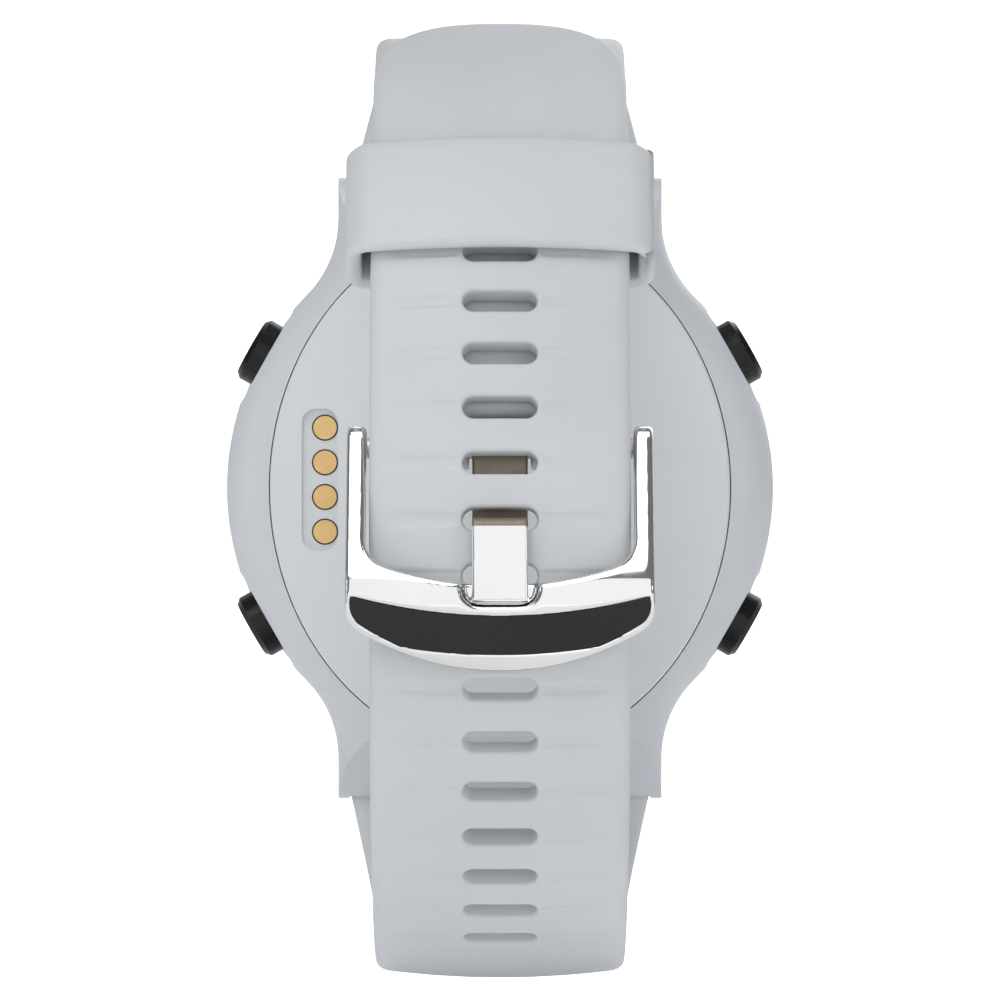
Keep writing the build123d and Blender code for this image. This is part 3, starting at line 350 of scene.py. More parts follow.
def slot_height(x, s, outer):
    """Height of the strap's face round a slot at the middle of its cell."""
    away = hypot(max(0.0, abs(x) - SLOT_CORE), s) - SLOT_RADIUS
    lip = LIP if outer else UNDER_LIP
    sunk = max(0.0, lip - max(0.0, away))
    drop = lip - sqrt(max(0.0, lip * lip - sunk * sunk))
    if not outer:
        return -STRAP_THICK + drop
    across = ease(3.2, 3.9, abs(x)) * (1 - ease(8.7, 9.3, abs(x)))
    groove = GROOVE_DEEP * across * (1 - ease(0.34, 0.62, abs(s)))
    return -CROWN * (x / STRAP_HALF) ** 2 - drop - groove


def slot_cell():
    """One pitch of the strap, its slot ringed by loops that widen to the cell's edge."""
    across, along = 26, 18
    rim = []
    for i in range(across):
        x = FLAT_HALF * (2 * i / across - 1)
        over = max(0.0, abs(x) - 6.0) / (FLAT_HALF - 6.0) * 55
        core = max(-6.0, min(6.0, x)) * SLOT_CORE / 6.0
        rim.append(((x, -CELL_HALF), core, -90 + (over if x > 0 else -over)))
    sides = [(2 * i / along - 1) for i in range(along)]
    sides = [(1 if q > 0 else -1) * abs(q) ** 1.25 for q in sides]
    rim += [((FLAT_HALF, q * CELL_HALF), SLOT_CORE, 35 * q) for q in sides]
    rim += [((-x, -s), -core, turn + 180) for (x, s), core, turn in rim]
    shape = bmesh.new()

    def loop(offset, blend, height):
        points = []
        for (x, s), core, turn in rim:
            reach = SLOT_RADIUS + offset
            px = core + reach * cos(radians(turn))
            ps = reach * sin(radians(turn))
            px, ps = px + (x - px) * blend, ps + (s - ps) * blend
            points.append(shape.verts.new((px * MM, ps * MM, height(px, ps) * MM)))
        return points

    loops = [loop(LIP, b, lambda x, s: slot_height(x, s, True)) for b in (1, 0.86, 0.72, 0.6)]
    loops += [
        loop(LIP, b, lambda x, s: slot_height(x, s, True)) for b in (0.48, 0.37, 0.26, 0.16, 0.07)
    ]
    for turn in (0, 18, 36, 54, 72, 90):
        away = LIP * (1 - sin(radians(turn)))
        loops.append(loop(away, 0, lambda x, s: slot_height(x, s, True)))
    loops.append(loop(0, 0, lambda x, s: -STRAP_THICK / 2 - 0.2))
    for turn in (90, 60, 30, 0):
        away = UNDER_LIP * (1 - sin(radians(turn)))
        loops.append(loop(away, 0, lambda x, s: slot_height(x, s, False)))
    loops += [loop(UNDER_LIP, b, lambda x, s: slot_height(x, s, False)) for b in (0.3, 0.65, 1)]
    for outer, inner in zip(loops, loops[1:]):
        for i in range(len(rim)):
            j = (i + 1) % len(rim)
            shape.faces.new((outer[i], outer[j], inner[j], inner[i]))
    stations = [q * CELL_HALF for q in sides] + [CELL_HALF]
    for side in (1, -1):
        lanes = sorted(side * (STRAP_HALF - d) for d in edge_lanes())

        def heights(x, s):
            outer = slot_height(x, s, True)
            middle = (outer - STRAP_THICK) / 2
            share = edge_share(STRAP_HALF - abs(x))
            return middle + (outer - middle) * share, middle + (-STRAP_THICK - middle) * share

        skin(shape, stations, lambda s, lanes=lanes: lanes, heights)
    return flat_piece("slot_cell", shape)


def path_tree():
    """Geometry nodes: repeats a cell along a flat strip, then lays it all along a path."""
    tree = bpy.data.node_groups.new("lay_along_path", "GeometryNodeTree")
    face = tree.interface
    face.new_socket("Geometry", in_out="INPUT", socket_type="NodeSocketGeometry")
    face.new_socket("Cell", in_out="INPUT", socket_type="NodeSocketObject")
    face.new_socket("Path", in_out="INPUT", socket_type="NodeSocketObject")
    face.new_socket("First cell", in_out="INPUT", socket_type="NodeSocketFloat")
    face.new_socket("Pitch", in_out="INPUT", socket_type="NodeSocketFloat")
    face.new_socket("Cells", in_out="INPUT", socket_type="NodeSocketInt")
    face.new_socket("Material", in_out="INPUT", socket_type="NodeSocketMaterial")
    face.new_socket("Geometry", in_out="OUTPUT", socket_type="NodeSocketGeometry")
    new, link = tree.nodes.new, tree.links.new
    given, out = new("NodeGroupInput"), new("NodeGroupOutput")
    start, step = new("ShaderNodeCombineXYZ"), new("ShaderNodeCombineXYZ")
    link(given.outputs["First cell"], start.inputs["Y"])
    link(given.outputs["Pitch"], step.inputs["Y"])
    row = new("GeometryNodeMeshLine")
    link(given.outputs["Cells"], row.inputs["Count"])
    link(start.outputs[0], row.inputs["Start Location"])
    link(step.outputs[0], row.inputs["Offset"])
    cell, repeat = new("GeometryNodeObjectInfo"), new("GeometryNodeInstanceOnPoints")
    link(given.outputs["Cell"], cell.inputs["Object"])
    link(row.outputs[0], repeat.inputs["Points"])
    link(cell.outputs["Geometry"], repeat.inputs["Instance"])
    real, both = new("GeometryNodeRealizeInstances"), new("GeometryNodeJoinGeometry")
    link(repeat.outputs[0], real.inputs[0])
    link(given.outputs["Geometry"], both.inputs[0])
    link(real.outputs[0], both.inputs[0])
    merge = new("GeometryNodeMergeByDistance")
    merge.inputs["Distance"].default_value = 0.004 * MM
    link(both.outputs[0], merge.inputs["Geometry"])
    spot, parts = new("GeometryNodeInputPosition"), new("ShaderNodeSeparateXYZ")
    link(spot.outputs[0], parts.inputs[0])
    path, sample = new("GeometryNodeObjectInfo"), new("GeometryNodeSampleCurve")
    sample.mode = "LENGTH"
    link(given.outputs["Path"], path.inputs["Object"])
    link(path.outputs["Geometry"], sample.inputs["Curves"])
    link(parts.outputs["Y"], sample.inputs["Length"])
    out_of_loop, lift = new("ShaderNodeVectorMath"), new("ShaderNodeVectorMath")
    out_of_loop.operation, lift.operation = "CROSS_PRODUCT", "SCALE"
    out_of_loop.inputs[0].default_value = (1, 0, 0)
    link(sample.outputs["Tangent"], out_of_loop.inputs[1])
    link(out_of_loop.outputs[0], lift.inputs[0])
    link(parts.outputs["Z"], lift.inputs["Scale"])
    across, placed, moved = (
        new("ShaderNodeCombineXYZ"),
        new("ShaderNodeVectorMath"),
        new("ShaderNodeVectorMath"),
    )
    link(parts.outputs["X"], across.inputs["X"])
    link(across.outputs[0], placed.inputs[0])
    link(sample.outputs["Position"], placed.inputs[1])
    link(placed.outputs[0], moved.inputs[0])
    link(lift.outputs[0], moved.inputs[1])
    place, smooth = new("GeometryNodeSetPosition"), new("GeometryNodeSetShadeSmooth")
    link(merge.outputs[0], place.inputs["Geometry"])
    link(moved.outputs[0], place.inputs["Position"])
    link(place.outputs[0], smooth.inputs["Geometry"])
    whole, paint = new("GeometryNodeRealizeInstances"), new("GeometryNodeSetMaterial")
    link(smooth.outputs[0], whole.inputs[0])
    link(whole.outputs[0], paint.inputs["Geometry"])
    link(given.outputs["Material"], paint.inputs["Material"])
    link(paint.outputs[0], out.inputs[0])
    return tree


def settle(piece, tree, **values):
    """Runs a geometry nodes tree on a piece and keeps the result as its plain mesh."""
    nodes = piece.modifiers.new("nodes", "NODES")
    nodes.node_group = tree
    for item in tree.interface.items_tree:
        key = item.name.replace(" ", "_").lower()
        if item.in_out == "INPUT" and key in values:
            nodes[item.identifier] = values[key]
    bpy.context.view_layer.update()
    ready = piece.evaluated_get(bpy.context.evaluated_depsgraph_get())
    mesh = bpy.data.meshes.new_from_object(ready)
    piece.modifiers.clear()
    piece.data = mesh
    mesh.name = piece.name
    return piece


def moulded_group():
    """Shader group: a moulded or rubbed surface, its tint, its gloss and its fine relief."""
    group = bpy.data.node_groups.new("moulded_surface", "ShaderNodeTree")
    face = group.interface
    for name, kind, value in (
        ("Clean", "NodeSocketColor", (0.8, 0.8, 0.8, 1)),
        ("Handled", "NodeSocketColor", (0.7, 0.7, 0.7, 1)),
        ("Gloss low", "NodeSocketFloat", 0.4),
        ("Gloss high", "NodeSocketFloat", 0.5),
        ("Patches", "NodeSocketFloat", 60.0),
        ("Grain", "NodeSocketFloat", 4000.0),
    ):
        face.new_socket(name, in_out="INPUT", socket_type=kind).default_value = value
    face.new_socket("Color", in_out="OUTPUT", socket_type="NodeSocketColor")
    face.new_socket("Roughness", in_out="OUTPUT", socket_type="NodeSocketFloat")
    face.new_socket("Height", in_out="OUTPUT", socket_type="NodeSocketFloat")
    new, link = group.nodes.new, group.links.new
    given, out = new("NodeGroupInput"), new("NodeGroupOutput")
    where = new("ShaderNodeTexCoord")
    patches, grain = new("ShaderNodeTexNoise"), new("ShaderNodeTexNoise")
    patches.inputs["Detail"].default_value = 4
    grain.inputs["Detail"].default_value = 3
    grain.inputs["Roughness"].default_value = 0.6
    for noise, size in ((patches, "Patches"), (grain, "Grain")):
        link(where.outputs["Object"], noise.inputs["Vector"])
        link(given.outputs[size], noise.inputs["Scale"])
    spread = new("ShaderNodeMapRange")
    spread.interpolation_type = "SMOOTHSTEP"
    spread.inputs["From Min"].default_value = 0.38
    spread.inputs["From Max"].default_value = 0.68
    link(patches.outputs["Fac"], spread.inputs["Value"])
    tint, gloss = new("ShaderNodeMix"), new("ShaderNodeMapRange")
    tint.data_type = "RGBA"
    link(spread.outputs["Result"], tint.inputs["Factor"])
    link(given.outputs["Clean"], tint.inputs["A"])
    link(given.outputs["Handled"], tint.inputs["B"])
    link(grain.outputs["Fac"], gloss.inputs["Value"])
    gloss.inputs["From Min"].default_value = 0.3
    gloss.inputs["From Max"].default_value = 0.7
    link(given.outputs["Gloss low"], gloss.inputs["To Min"])
    link(given.outputs["Gloss high"], gloss.inputs["To Max"])
    link(tint.outputs["Result"], out.inputs["Color"])
    link(gloss.outputs["Result"], out.inputs["Roughness"])
    link(grain.outputs["Fac"], out.inputs["Height"])
    return group


MOULDED = moulded_group()


def finish_of(name, clean, handled, gloss, grain, relief, patches=60.0, **shader_values):
    """Material with a moulded_surface group in it, and constants for the rest."""
    material = bpy.data.materials.new(name)
    material.use_nodes = True
    new, link = material.node_tree.nodes.new, material.node_tree.links.new
    shader = material.node_tree.nodes["Principled BSDF"]
    surface = new("ShaderNodeGroup")
    surface.node_tree = MOULDED
    surface.inputs["Clean"].default_value = (*clean, 1)
    surface.inputs["Handled"].default_value = (*handled, 1)
    surface.inputs["Gloss low"].default_value = gloss[0]
    surface.inputs["Gloss high"].default_value = gloss[1]
    surface.inputs["Patches"].default_value = patches
    surface.inputs["Grain"].default_value = grain
    bump = new("ShaderNodeBump")
    bump.inputs["Strength"].default_value = relief
    bump.inputs["Distance"].default_value = 0.02 * MM
    link(surface.outputs["Color"], shader.inputs["Base Color"])
    link(surface.outputs["Roughness"], shader.inputs["Roughness"])
    link(surface.outputs["Height"], bump.inputs["Height"])
    link(bump.outputs["Normal"], shader.inputs["Normal"])
    for socket, value in shader_values.items():
        shader.inputs[socket.replace("_", " ")].default_value = value
    return material


rubber_white = finish_of(
    "rubber_white",
    (0.655, 0.675, 0.70),
    (0.63, 0.645, 0.665),
    (0.40, 0.52),
    2600.0,
    0.25,
    Subsurface_Weight=0.06,
    Subsurface_Radius=(0.002, 0.0018, 0.0015),
)
cell = slot_cell()
lay_along_path = path_tree()
settle(
    long_strap,
    lay_along_path,
    cell=cell,
    path=long_path,
    first_cell=(FRONT_AT + FIRST_SLOT) * MM,
    pitch=SLOT_PITCH * MM,
    cells=SLOTS,
    material=rubber_white,
)
bpy.data.objects.remove(cell)
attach(long_strap, "watch")
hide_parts("strap_long")

# ---------------------------------------------------------------- strap, short half
# The same rubber, pinned between the upper lugs. It runs over the top and down under
# the long half, and ends in a barrel round the buckle's bar, split for the tongue.
bar_y, bar_z = (v / MM for v in joints["buckle_hinge"]["pos_m"][1:])
BAR_BARREL = 1.9
LOBE_EDGE = 0.6
LOBE_OVERLAP = 1.5  # the two lobes round the bar reach this far into the strap
SHORT_CROWN = 0.3  # share of the long strap's crown
SHORT_RADIUS = hypot(front_y - bar_y, bar_z - front_z) + BAR_BARREL
TONGUE_GAP = 2.6
GAP_TO = 4.3
short_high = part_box("strap_short")[1].z / MM
bend_high = short_high - BEND_RADIUS
pin_high = sum(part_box("lug_pin_upper"), Vector()).z / 2 / MM


def turn_of(rise, run):
    """Angle in degrees whose tangent is rise over run."""
    return degrees(Vector((run, rise)).angle_signed(Vector((1, 0))))


bar_turn = turn_of(bar_z - front_z, front_y - bar_y)
join_turn = turn_of(bend_high - front_z, front_y - BEND_Y)
lug_turn = degrees(asin((pin_high - bend_high) / BEND_RADIUS))
barrel_turn = bar_turn - degrees(BAR_BARREL / SHORT_RADIUS)
short_line = arc_line((front_y, front_z), SHORT_RADIUS, barrel_turn, join_turn)
short_line += arc_line((BEND_Y, bend_high), BEND_RADIUS, join_turn, 180 - lug_turn)
last, before = short_line[-1], short_line[-2]
reach = BARREL / hypot(last[0] - before[0], last[1] - before[1])
short_line.append(
    (last[0] + (last[0] - before[0]) * reach, last[1] + (last[1] - before[1]) * reach)
)
SHORT_LENGTH = sum(hypot(b[0] - a[0], b[1] - a[1]) for a, b in zip(short_line, short_line[1:]))
short_path = path_curve("short_path", short_line)


def short_half(s):
    """Half width of the short strap."""
    bend = degrees((SHORT_LENGTH - s - BARREL) / BEND_RADIUS) + lug_turn
    return flare(min(90.0, max(0.0, bend)), first=20.0)


def short_heights(x, s):
    """Outer and inner height of the short strap beyond the tongue's gap."""
    half = short_half(s)
    outer, inner = root_shape(SHORT_LENGTH - s)
    share = edge_share(min(half - abs(x), s - GAP_TO))
    outer -= SHORT_CROWN * CROWN * (x / half) ** 2 * ease(CROWN_FROM, CROWN_TO, SHORT_LENGTH - s)
    middle = (outer + inner) / 2
    return middle + (outer - middle) * share, middle + (inner - middle) * share


def barrel_heights(x, s):
    """Outer and inner height of the barrel on one side of the tongue's gap."""
    bulge = sqrt(max(0.0, BAR_BARREL**2 - (s - BAR_BARREL) ** 2))
    outer = 0.0 if s > BAR_BARREL else -BAR_BARREL + bulge
    inner = -BAR_BARREL - bulge
    if s > BAR_BARREL:
        inner = min(-STRAP_THICK, inner)
    share = edge_share(min(STRAP_HALF - abs(x), abs(x) - TONGUE_GAP), reach=LOBE_EDGE)
    share *= edge_share(GAP_TO + LOBE_OVERLAP - s, reach=LOBE_EDGE / 2)
    middle = (outer + inner) / 2
    return middle + (outer - middle) * share, middle + (inner - middle) * share


short_shape = bmesh.new()
short_stations = [GAP_TO + 1.2 * (1 - cos(radians(90) * i / 6)) for i in range(7)]
end_stations = [SHORT_LENGTH - s for s in reversed(root_stations[:17])]
run = end_stations[0] - short_stations[-1]
short_stations += [short_stations[-1] + run * i / 80 for i in range(1, 80)] + end_stations
skin(
    short_shape,
    short_stations,
    lambda s: [x * short_half(s) / STRAP_HALF for x in LANES],
    short_heights,
)
lobe_stations = [BAR_BARREL * (1 - cos(radians(90) * i / 10)) for i in range(11)]
lobe_run = GAP_TO + LOBE_OVERLAP - BAR_BARREL
lobe_stations += [BAR_BARREL + lobe_run * i / 16 for i in range(1, 17)]
lobe_span = STRAP_HALF - TONGUE_GAP
lobe_depths = [LOBE_EDGE * (1 - cos(radians(90) * i / 5)) for i in range(6)]
lobe_lanes = [TONGUE_GAP + d for d in lobe_depths]
lobe_flat = lobe_span - 2 * LOBE_EDGE
lobe_lanes += [TONGUE_GAP + LOBE_EDGE + lobe_flat * i / 10 for i in range(1, 10)]
lobe_lanes += [STRAP_HALF - d for d in reversed(lobe_depths)]
for side in (1, -1):
    across = lobe_lanes if side > 0 else [-x for x in reversed(lobe_lanes)]
    skin(short_shape, lobe_stations, lambda s, across=across: across, barrel_heights)
short_strap = flat_piece("short_strap", short_shape)
settle(short_strap, lay_along_path, path=short_path, cells=0, material=rubber_white)
bpy.data.objects.remove(short_path)
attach(short_strap, "watch")
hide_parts("strap_short")

# ---------------------------------------------------------------- keeper loop
# Moulded rubber loop that holds the tail down. Its front is crowned like the strap
# under it, and its corners and rims are rounded. It slides along both straps.
KEEPER_HALF = (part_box("keeper")[1].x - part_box("keeper")[0].x) / 2 / MM
KEEPER_AT = 34.7
KEEPER_LENGTH = 11.2
KEEPER_WALL = 1.4
KEEPER_TOP = 1.65
KEEPER_FOOT = -6.65
KEEPER_CROWN = 1.15
KEEPER_CORNER = 2.0
KEEPER_EDGE = 0.55


def keeper_ring():
    """Flat keeper: a rounded wall section carried round a rounded rectangle."""
    corners = (
        (KEEPER_HALF - KEEPER_CORNER, KEEPER_TOP - KEEPER_CORNER, 0),
        (-KEEPER_HALF + KEEPER_CORNER, KEEPER_TOP - KEEPER_CORNER, 90),
        (-KEEPER_HALF + KEEPER_CORNER, KEEPER_FOOT + KEEPER_CORNER, 180),
        (KEEPER_HALF - KEEPER_CORNER, KEEPER_FOOT + KEEPER_CORNER, 270),
    )
    rim = []
    for x, h, start in corners:
        for i in range(9):
            turn = radians(start + 90 * i / 8)
            rim.append((x, h, cos(turn), sin(turn)))
        if start in (0, 180):
            side = 1 if start == 0 else -1
            for i in range(1, 24):
                rim.append((side * (KEEPER_HALF - KEEPER_CORNER) * (1 - i / 12), h, 0, side))
    half, edge = KEEPER_LENGTH / 2, KEEPER_EDGE
    section = []
    for inner in (0, 1):
        for i in range(-6, 7):
            section.append(((half - edge) * i / 6 * (1 if inner == 0 else -1), float(inner)))
        for i in range(1, 8):
            turn = radians(180) * i / 8
            side = 1 if inner == 0 else -1
            section.append((side * (half - edge + edge * sin(turn)), 0.5 - 0.5 * side * cos(turn)))
    shape = bmesh.new()
    rings = []
    for x, h, nx, nh in rim:
        ring = []
        for s, depth in section:
            reach = KEEPER_CORNER - depth * KEEPER_WALL
            px, ph = x + nx * reach, h + nh * reach
            if ph > KEEPER_TOP - KEEPER_CORNER:
                ph -= KEEPER_CROWN * (px / KEEPER_HALF) ** 2 * ease(-3, 1, ph)
            ring.append(shape.verts.new((px * MM, s * MM, ph * MM)))
        rings.append(ring)
    for i in range(len(rings)):
        a, b = rings[i], rings[(i + 1) % len(rings)]
        for j in range(len(section)):
            k = (j + 1) % len(section)
            shape.faces.new((a[j], a[k], b[k], b[j]))
    for vert in shape.verts:
        vert.co.y += (FRONT_AT + KEEPER_AT) * MM
    bmesh.ops.recalc_face_normals(shape, faces=shape.faces)
    return flat_piece("keeper_loop", shape)


rubber_keeper = finish_of(
    "rubber_keeper", (0.66, 0.685, 0.70), (0.64, 0.66, 0.67), (0.36, 0.46), 2600.0, 0.22
)
keeper_loop = keeper_ring()
settle(keeper_loop, lay_along_path, path=long_path, cells=0, material=rubber_keeper)
bpy.data.objects.remove(long_path)
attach(keeper_loop, "keeper")
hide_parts("keeper")

# ---------------------------------------------------------------- mid-case and back cover
# Glass-filled nylon moulding, satin white, with its two pairs of lugs, and the flat
# cover let into its back.
case_white = finish_of(
    "case_white", (0.66, 0.69, 0.725), (0.64, 0.665, 0.695), (0.34, 0.42), 3200.0, 0.12
)
# The cover's white is the same plastic as the case. It is painted lighter than the case body to offset
# the shade the strap loop casts on the back.
cover_white = finish_of(
    "cover_white", (0.745, 0.77, 0.79), (0.73, 0.75, 0.765), (0.36, 0.44), 3200.0, 0.12
)


def paint(material, *nodes):
    """Gives CAD nodes a material in every slot they have."""
    for name in nodes:
        mesh = frame["nodes"][name].data
        mesh.materials.clear()
        mesh.materials.append(material)


paint(case_white, "case_body")
paint(cover_white, "back_cover")

# ---------------------------------------------------------------- charging contacts
# Four gold-plated turned pins in dark insulating rings, on the pocket's floor.
gold_plate = finish_of(
    "gold_plate", (0.74, 0.50, 0.23), (0.70, 0.46, 0.20), (0.24, 0.32), 900.0, 0.04, Metallic=1.0
)
seal_black = finish_of(
    "seal_black", (0.05, 0.045, 0.04), (0.035, 0.03, 0.03), (0.5, 0.65), 3000.0, 0.3
)
paint(gold_plate, "charge_contacts")
paint(seal_black, "contact_seals", "back_gasket", "crystal_gasket")

# ---------------------------------------------------------------- buckle
# Cast steel frame and pressed tongue, mirror polished, with a black enamel band sunk
# in the crossbar. Polishing has rounded every edge but those beside the enamel.
polished_steel = finish_of(
    "polished_steel",
    (0.80, 0.80, 0.79),
    (0.76, 0.76, 0.75),
    (0.05, 0.09),
    900.0,
    0.02,
    Metallic=1.0,
)
turned_steel = finish_of(
    "turned_steel", (0.58, 0.57, 0.55), (0.50, 0.48, 0.45), (0.25, 0.4), 2200.0, 0.2, Metallic=1.0
)
# Steel for the tongue's shank. Its rougher gloss is a real brushed finish, and its dark brown colour
# is painted shade where the shank runs through the strap's slot.
brushed_steel = finish_of(
    "brushed_steel", (0.27, 0.23, 0.18), (0.22, 0.19, 0.15), (0.42, 0.55), 2200.0, 0.2, Metallic=0.9
)
enamel_black = finish_of(
    "enamel_black",
    (0.007, 0.009, 0.010),
    (0.010, 0.012, 0.013),
    (0.08, 0.12),
    1200.0,
    0.03,
    Specular_IOR_Level=0.35,
)


CRISP_FROM = 0.15  # beside a crisp node the rounding grows between these distances
CRISP_TO = 0.8
CRISP_LEAST = 0.3
PAD_LENGTH = 6.4  # polished end of the tongue; the shank behind it is left brushed, and its dark brown colour is painted shade


def baked(piece, name, material):
    """Keeps a piece's shape as its modifiers leave it, in one material."""
    bpy.context.view_layer.update()
    ready = piece.evaluated_get(bpy.context.evaluated_depsgraph_get())
    mesh = bpy.data.meshes.new_from_object(ready)
    piece.modifiers.clear()
    piece.data = mesh
    mesh.name = name
    mesh.shade_smooth()
    mesh.materials.clear()
    mesh.materials.append(material)


def soften(name, node, voxel, rounds, material, crisp=None):
    """Copy of a CAD node's shape with its edges rounded, less so beside a crisp node."""
    piece = bpy.data.objects.new(name, frame["nodes"][node].data.copy())
    scene.collection.objects.link(piece)
    shape = bmesh.new()
    shape.from_mesh(piece.data)
    bmesh.ops.remove_doubles(shape, verts=shape.verts, dist=0.002 * MM)
    shape.to_mesh(piece.data)
    shape.free()
    remesh = piece.modifiers.new("remesh", "REMESH")
    remesh.mode = "VOXEL"
    remesh.voxel_size = voxel * MM
    baked(piece, name, material)
    free = piece.vertex_groups.new(name="free")
    if crisp:
        kept = frame["nodes"][crisp].data
        near = BVHTree.FromPolygons([v.co for v in kept.vertices], [p.vertices for p in kept.polygons])
    for vert in piece.data.vertices:
        away = near.find_nearest(vert.co)[3] / MM if crisp else CRISP_TO
        share = CRISP_LEAST + (1 - CRISP_LEAST) * ease(CRISP_FROM, CRISP_TO, away)
        free.add([vert.index], share, "REPLACE")
    smooth = piece.modifiers.new("smooth", "SMOOTH")
    smooth.factor = 0.5
    smooth.iterations = rounds
    smooth.vertex_group = "free"
    baked(piece, name, material)
    piece.vertex_groups.clear()
    return piece


buckle_polished = soften("buckle_polished", "buckle_frame", 0.13, 44, polished_steel, "buckle_inlay")
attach(buckle_polished, "buckle")
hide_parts("buckle_frame")
tongue_polished = soften("tongue_polished", "buckle_tongue", 0.1, 16, polished_steel)
tongue_polished.data.materials.append(brushed_steel)
pad_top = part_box("buckle_tongue")[0].z + PAD_LENGTH * MM
# Faces above the polished pad take the shank's steel, whose dark brown colour is painted shade.
for face in tongue_polished.data.polygons:
    face.material_index = int(face.center.z > pad_top)
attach(tongue_polished, "tongue")
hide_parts("buckle_tongue")
paint(enamel_black, "buckle_inlay")
paint(turned_steel, "buckle_bar", "lug_pin_upper", "lug_pin_lower")

# ---------------------------------------------------------------- buttons
# Turned caps with a black coating, a chamfered face and a stem that runs in a tube.
button_black = finish_of(
    "button_black",
    (0.006, 0.006, 0.006),
    (0.009, 0.009, 0.009),
    (0.22, 0.3),
    4000.0,
    0.1,
    Specular_IOR_Level=0.3,
)
for side in ("upper_right", "upper_left", "lower_left", "lower_right"):
    paint(button_black, f"button_{side}")
    paint(seal_black, f"button_seal_{side}")
    paint(turned_steel, f"button_clip_{side}")
paint(turned_steel, "button_tubes")

# ---------------------------------------------------------------- bezel, crystal and dial
# Bead-blasted aluminium ring and mineral glass over a dark panel, which shows a plain
# face: hour and minute marks, each set repeated round the axis, and two hands.
bezel_grey = finish_of(
    "bezel_grey", (0.60, 0.61, 0.62), (0.54, 0.55, 0.56), (0.32, 0.42), 5000.0, 0.3, Metallic=1.0
)
panel_black = finish_of(
    "panel_black", (0.008, 0.009, 0.011), (0.012, 0.013, 0.015), (0.25, 0.35), 2500.0, 0.05
)
crystal_clear = bpy.data.materials.new("crystal_clear")
crystal_clear.use_nodes = True
glass = crystal_clear.node_tree.nodes["Principled BSDF"]
glass.inputs["Base Color"].default_value = (0.97, 0.99, 1.0, 1)
glass.inputs["Roughness"].default_value = 0.02
glass.inputs["IOR"].default_value = 1.5
glass.inputs["Transmission Weight"].default_value = 1.0
paint(bezel_grey, "bezel")
paint(panel_black, "display_panel")
paint(crystal_clear, "crystal")

panel_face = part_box("display_panel")[1].y / MM
MARK_LIFT = 0.02
MARK_THICK = 0.05
MARK_OUTER = 15.2
HOUR_MARK = (0.42, 2.6)  # half width, length
MINUTE_MARK = (0.12, 1.0)
MINUTE_OUT = 1.6  # how far the minute marks stand outside the hour marks
HAND_TAIL = 1.6
HAND_WAIST = 0.8  # share of its length at which a hand is widest
HAND_SWELL = 1.25
HANDS = ((305.0, 0.55, 8.2), (60.0, 0.38, 12.4))  # turn, half width, length


def plate(shape, outline, turn=0.0):
    """Adds a thin plate to a bmesh: an outline in the dial's plane, turned about its centre."""
    a = radians(turn)
    rings = []
    for y in (panel_face + MARK_LIFT, panel_face + MARK_LIFT + MARK_THICK):
        spots = [(-(x * cos(a) + z * sin(a)), y, z * cos(a) - x * sin(a)) for x, z in outline]
        rings.append([shape.verts.new(Vector(spot) * MM) for spot in spots])
    for i in range(len(outline)):
        j = (i + 1) % len(outline)
        shape.faces.new((rings[0][i], rings[0][j], rings[1][j], rings[1][i]))
    shape.faces.new(rings[0])
    shape.faces.new(rings[1])
    bmesh.ops.recalc_face_normals(shape, faces=shape.faces)


def ring_tree():
    """Geometry nodes: repeats a mark round the dial's axis."""
    tree = bpy.data.node_groups.new("marks_round_dial", "GeometryNodeTree")
    face = tree.interface
    face.new_socket("Geometry", in_out="INPUT", socket_type="NodeSocketGeometry")
    face.new_socket("Count", in_out="INPUT", socket_type="NodeSocketInt")
    face.new_socket("Step", in_out="INPUT", socket_type="NodeSocketFloat")
    face.new_socket("Material", in_out="INPUT", socket_type="NodeSocketMaterial")
    face.new_socket("Geometry", in_out="OUTPUT", socket_type="NodeSocketGeometry")
    new, link = tree.nodes.new, tree.links.new
    given, out = new("NodeGroupInput"), new("NodeGroupOutput")
    row, index = new("GeometryNodeMeshLine"), new("GeometryNodeInputIndex")
    row.inputs["Offset"].default_value = (0, 0, 0)
    link(given.outputs["Count"], row.inputs["Count"])
    turn, spin = new("ShaderNodeMath"), new("ShaderNodeCombineXYZ")
    turn.operation = "MULTIPLY"
    link(index.outputs[0], turn.inputs[0])
    link(given.outputs["Step"], turn.inputs[1])
    link(turn.outputs[0], spin.inputs["Y"])
    repeat, real = new("GeometryNodeInstanceOnPoints"), new("GeometryNodeRealizeInstances")
    link(row.outputs[0], repeat.inputs["Points"])
    link(given.outputs["Geometry"], repeat.inputs["Instance"])
    link(spin.outputs[0], repeat.inputs["Rotation"])
    link(repeat.outputs[0], real.inputs[0])
    paint = new("GeometryNodeSetMaterial")
    link(real.outputs[0], paint.inputs["Geometry"])
    link(given.outputs["Material"], paint.inputs["Material"])
    link(paint.outputs[0], out.inputs[0])
    return tree


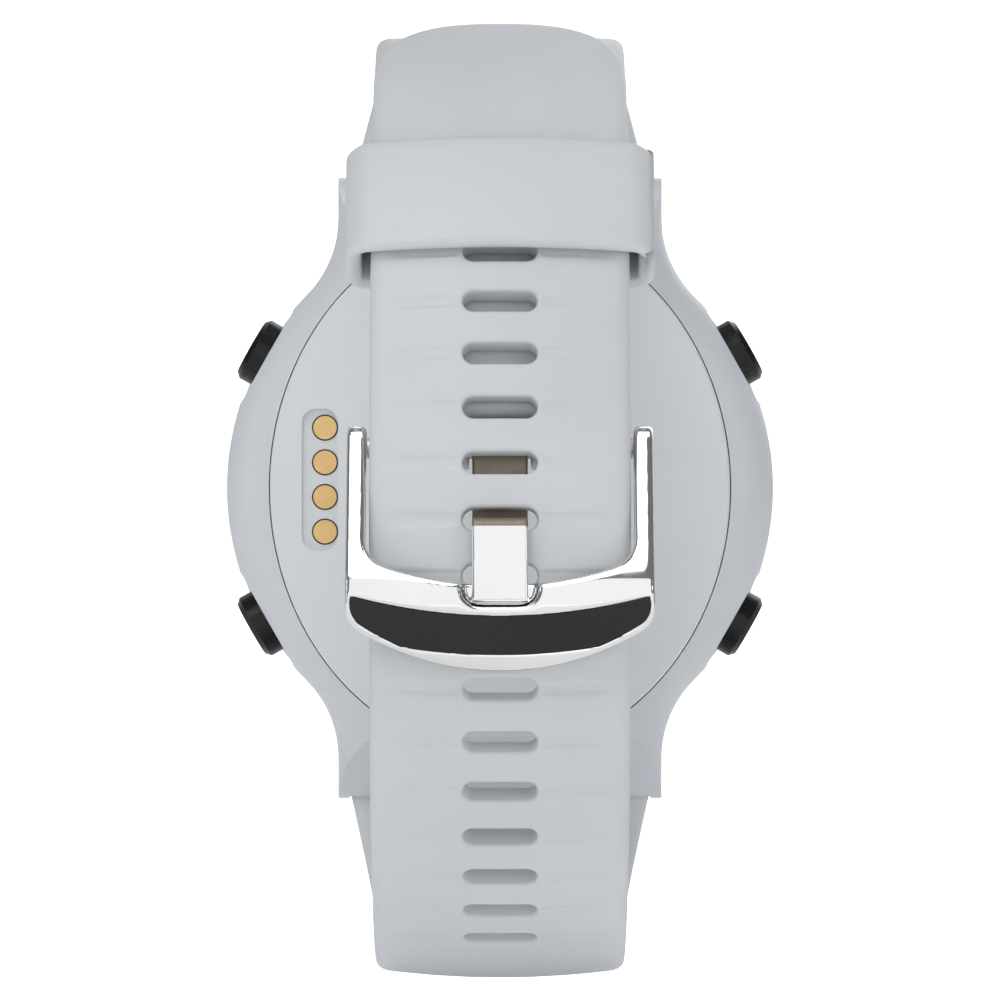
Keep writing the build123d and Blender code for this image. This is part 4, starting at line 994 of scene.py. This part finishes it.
marks_round_dial = ring_tree()
display_lit = finish_of(
    "display_lit",
    (0.78, 0.80, 0.78),
    (0.74, 0.76, 0.74),
    (0.4, 0.5),
    2500.0,
    0.05,
    Emission_Color=(0.85, 0.95, 0.88, 1),
    Emission_Strength=0.25,
)
for name, count, (half, length) in (
    ("hour_marks", 12, HOUR_MARK),
    ("minute_marks", 60, MINUTE_MARK),
):
    mark_shape = bmesh.new()
    top = MARK_OUTER if name == "hour_marks" else MARK_OUTER + MINUTE_OUT
    plate(
        mark_shape,
        [(-half, top - length), (half, top - length), (half, top), (-half, top)],
    )
    marks = flat_piece(name, mark_shape)
    step = radians(360 / count)
    settle(marks, marks_round_dial, count=count, step=step, material=display_lit)
    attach(marks, "watch")
hand_shape = bmesh.new()
for turn, half, length in HANDS:
    waist, widest = length * HAND_WAIST, half * HAND_SWELL
    outline = [(-half, -HAND_TAIL), (half, -HAND_TAIL), (widest, waist), (0, length)]
    plate(hand_shape, outline + [(-widest, waist)], turn)
hands = flat_piece("hands", hand_shape)
hands.data.materials.append(display_lit)
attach(hands, "watch")

# ---------------------------------------------------------------- movement
# The sealed inside: the battery in its tray, the board with its shields, and the rest.
plastic_black = finish_of(
    "plastic_black", (0.03, 0.03, 0.033), (0.045, 0.045, 0.048), (0.45, 0.6), 2500.0, 0.3
)
board_green = finish_of(
    "board_green", (0.012, 0.09, 0.045), (0.02, 0.13, 0.06), (0.3, 0.42), 3500.0, 0.15
)
flex_amber = finish_of(
    "flex_amber", (0.45, 0.19, 0.03), (0.5, 0.24, 0.05), (0.3, 0.4), 2500.0, 0.1
)
pouch_foil = finish_of(
    "pouch_foil", (0.62, 0.62, 0.63), (0.55, 0.55, 0.56), (0.3, 0.45), 1200.0, 0.4, Metallic=1.0
)
fired_ceramic = finish_of(
    "fired_ceramic", (0.62, 0.55, 0.42), (0.56, 0.49, 0.37), (0.5, 0.6), 3000.0, 0.3
)
paint(plastic_black, "display_frame", "battery_tray", "button_switches")
paint(board_green, "main_board", "contact_board")
paint(flex_amber, "contact_flex")
paint(pouch_foil, "battery", "board_shields")
paint(fired_ceramic, "antenna")
paint(turned_steel, "board_screws", "vibration_motor")
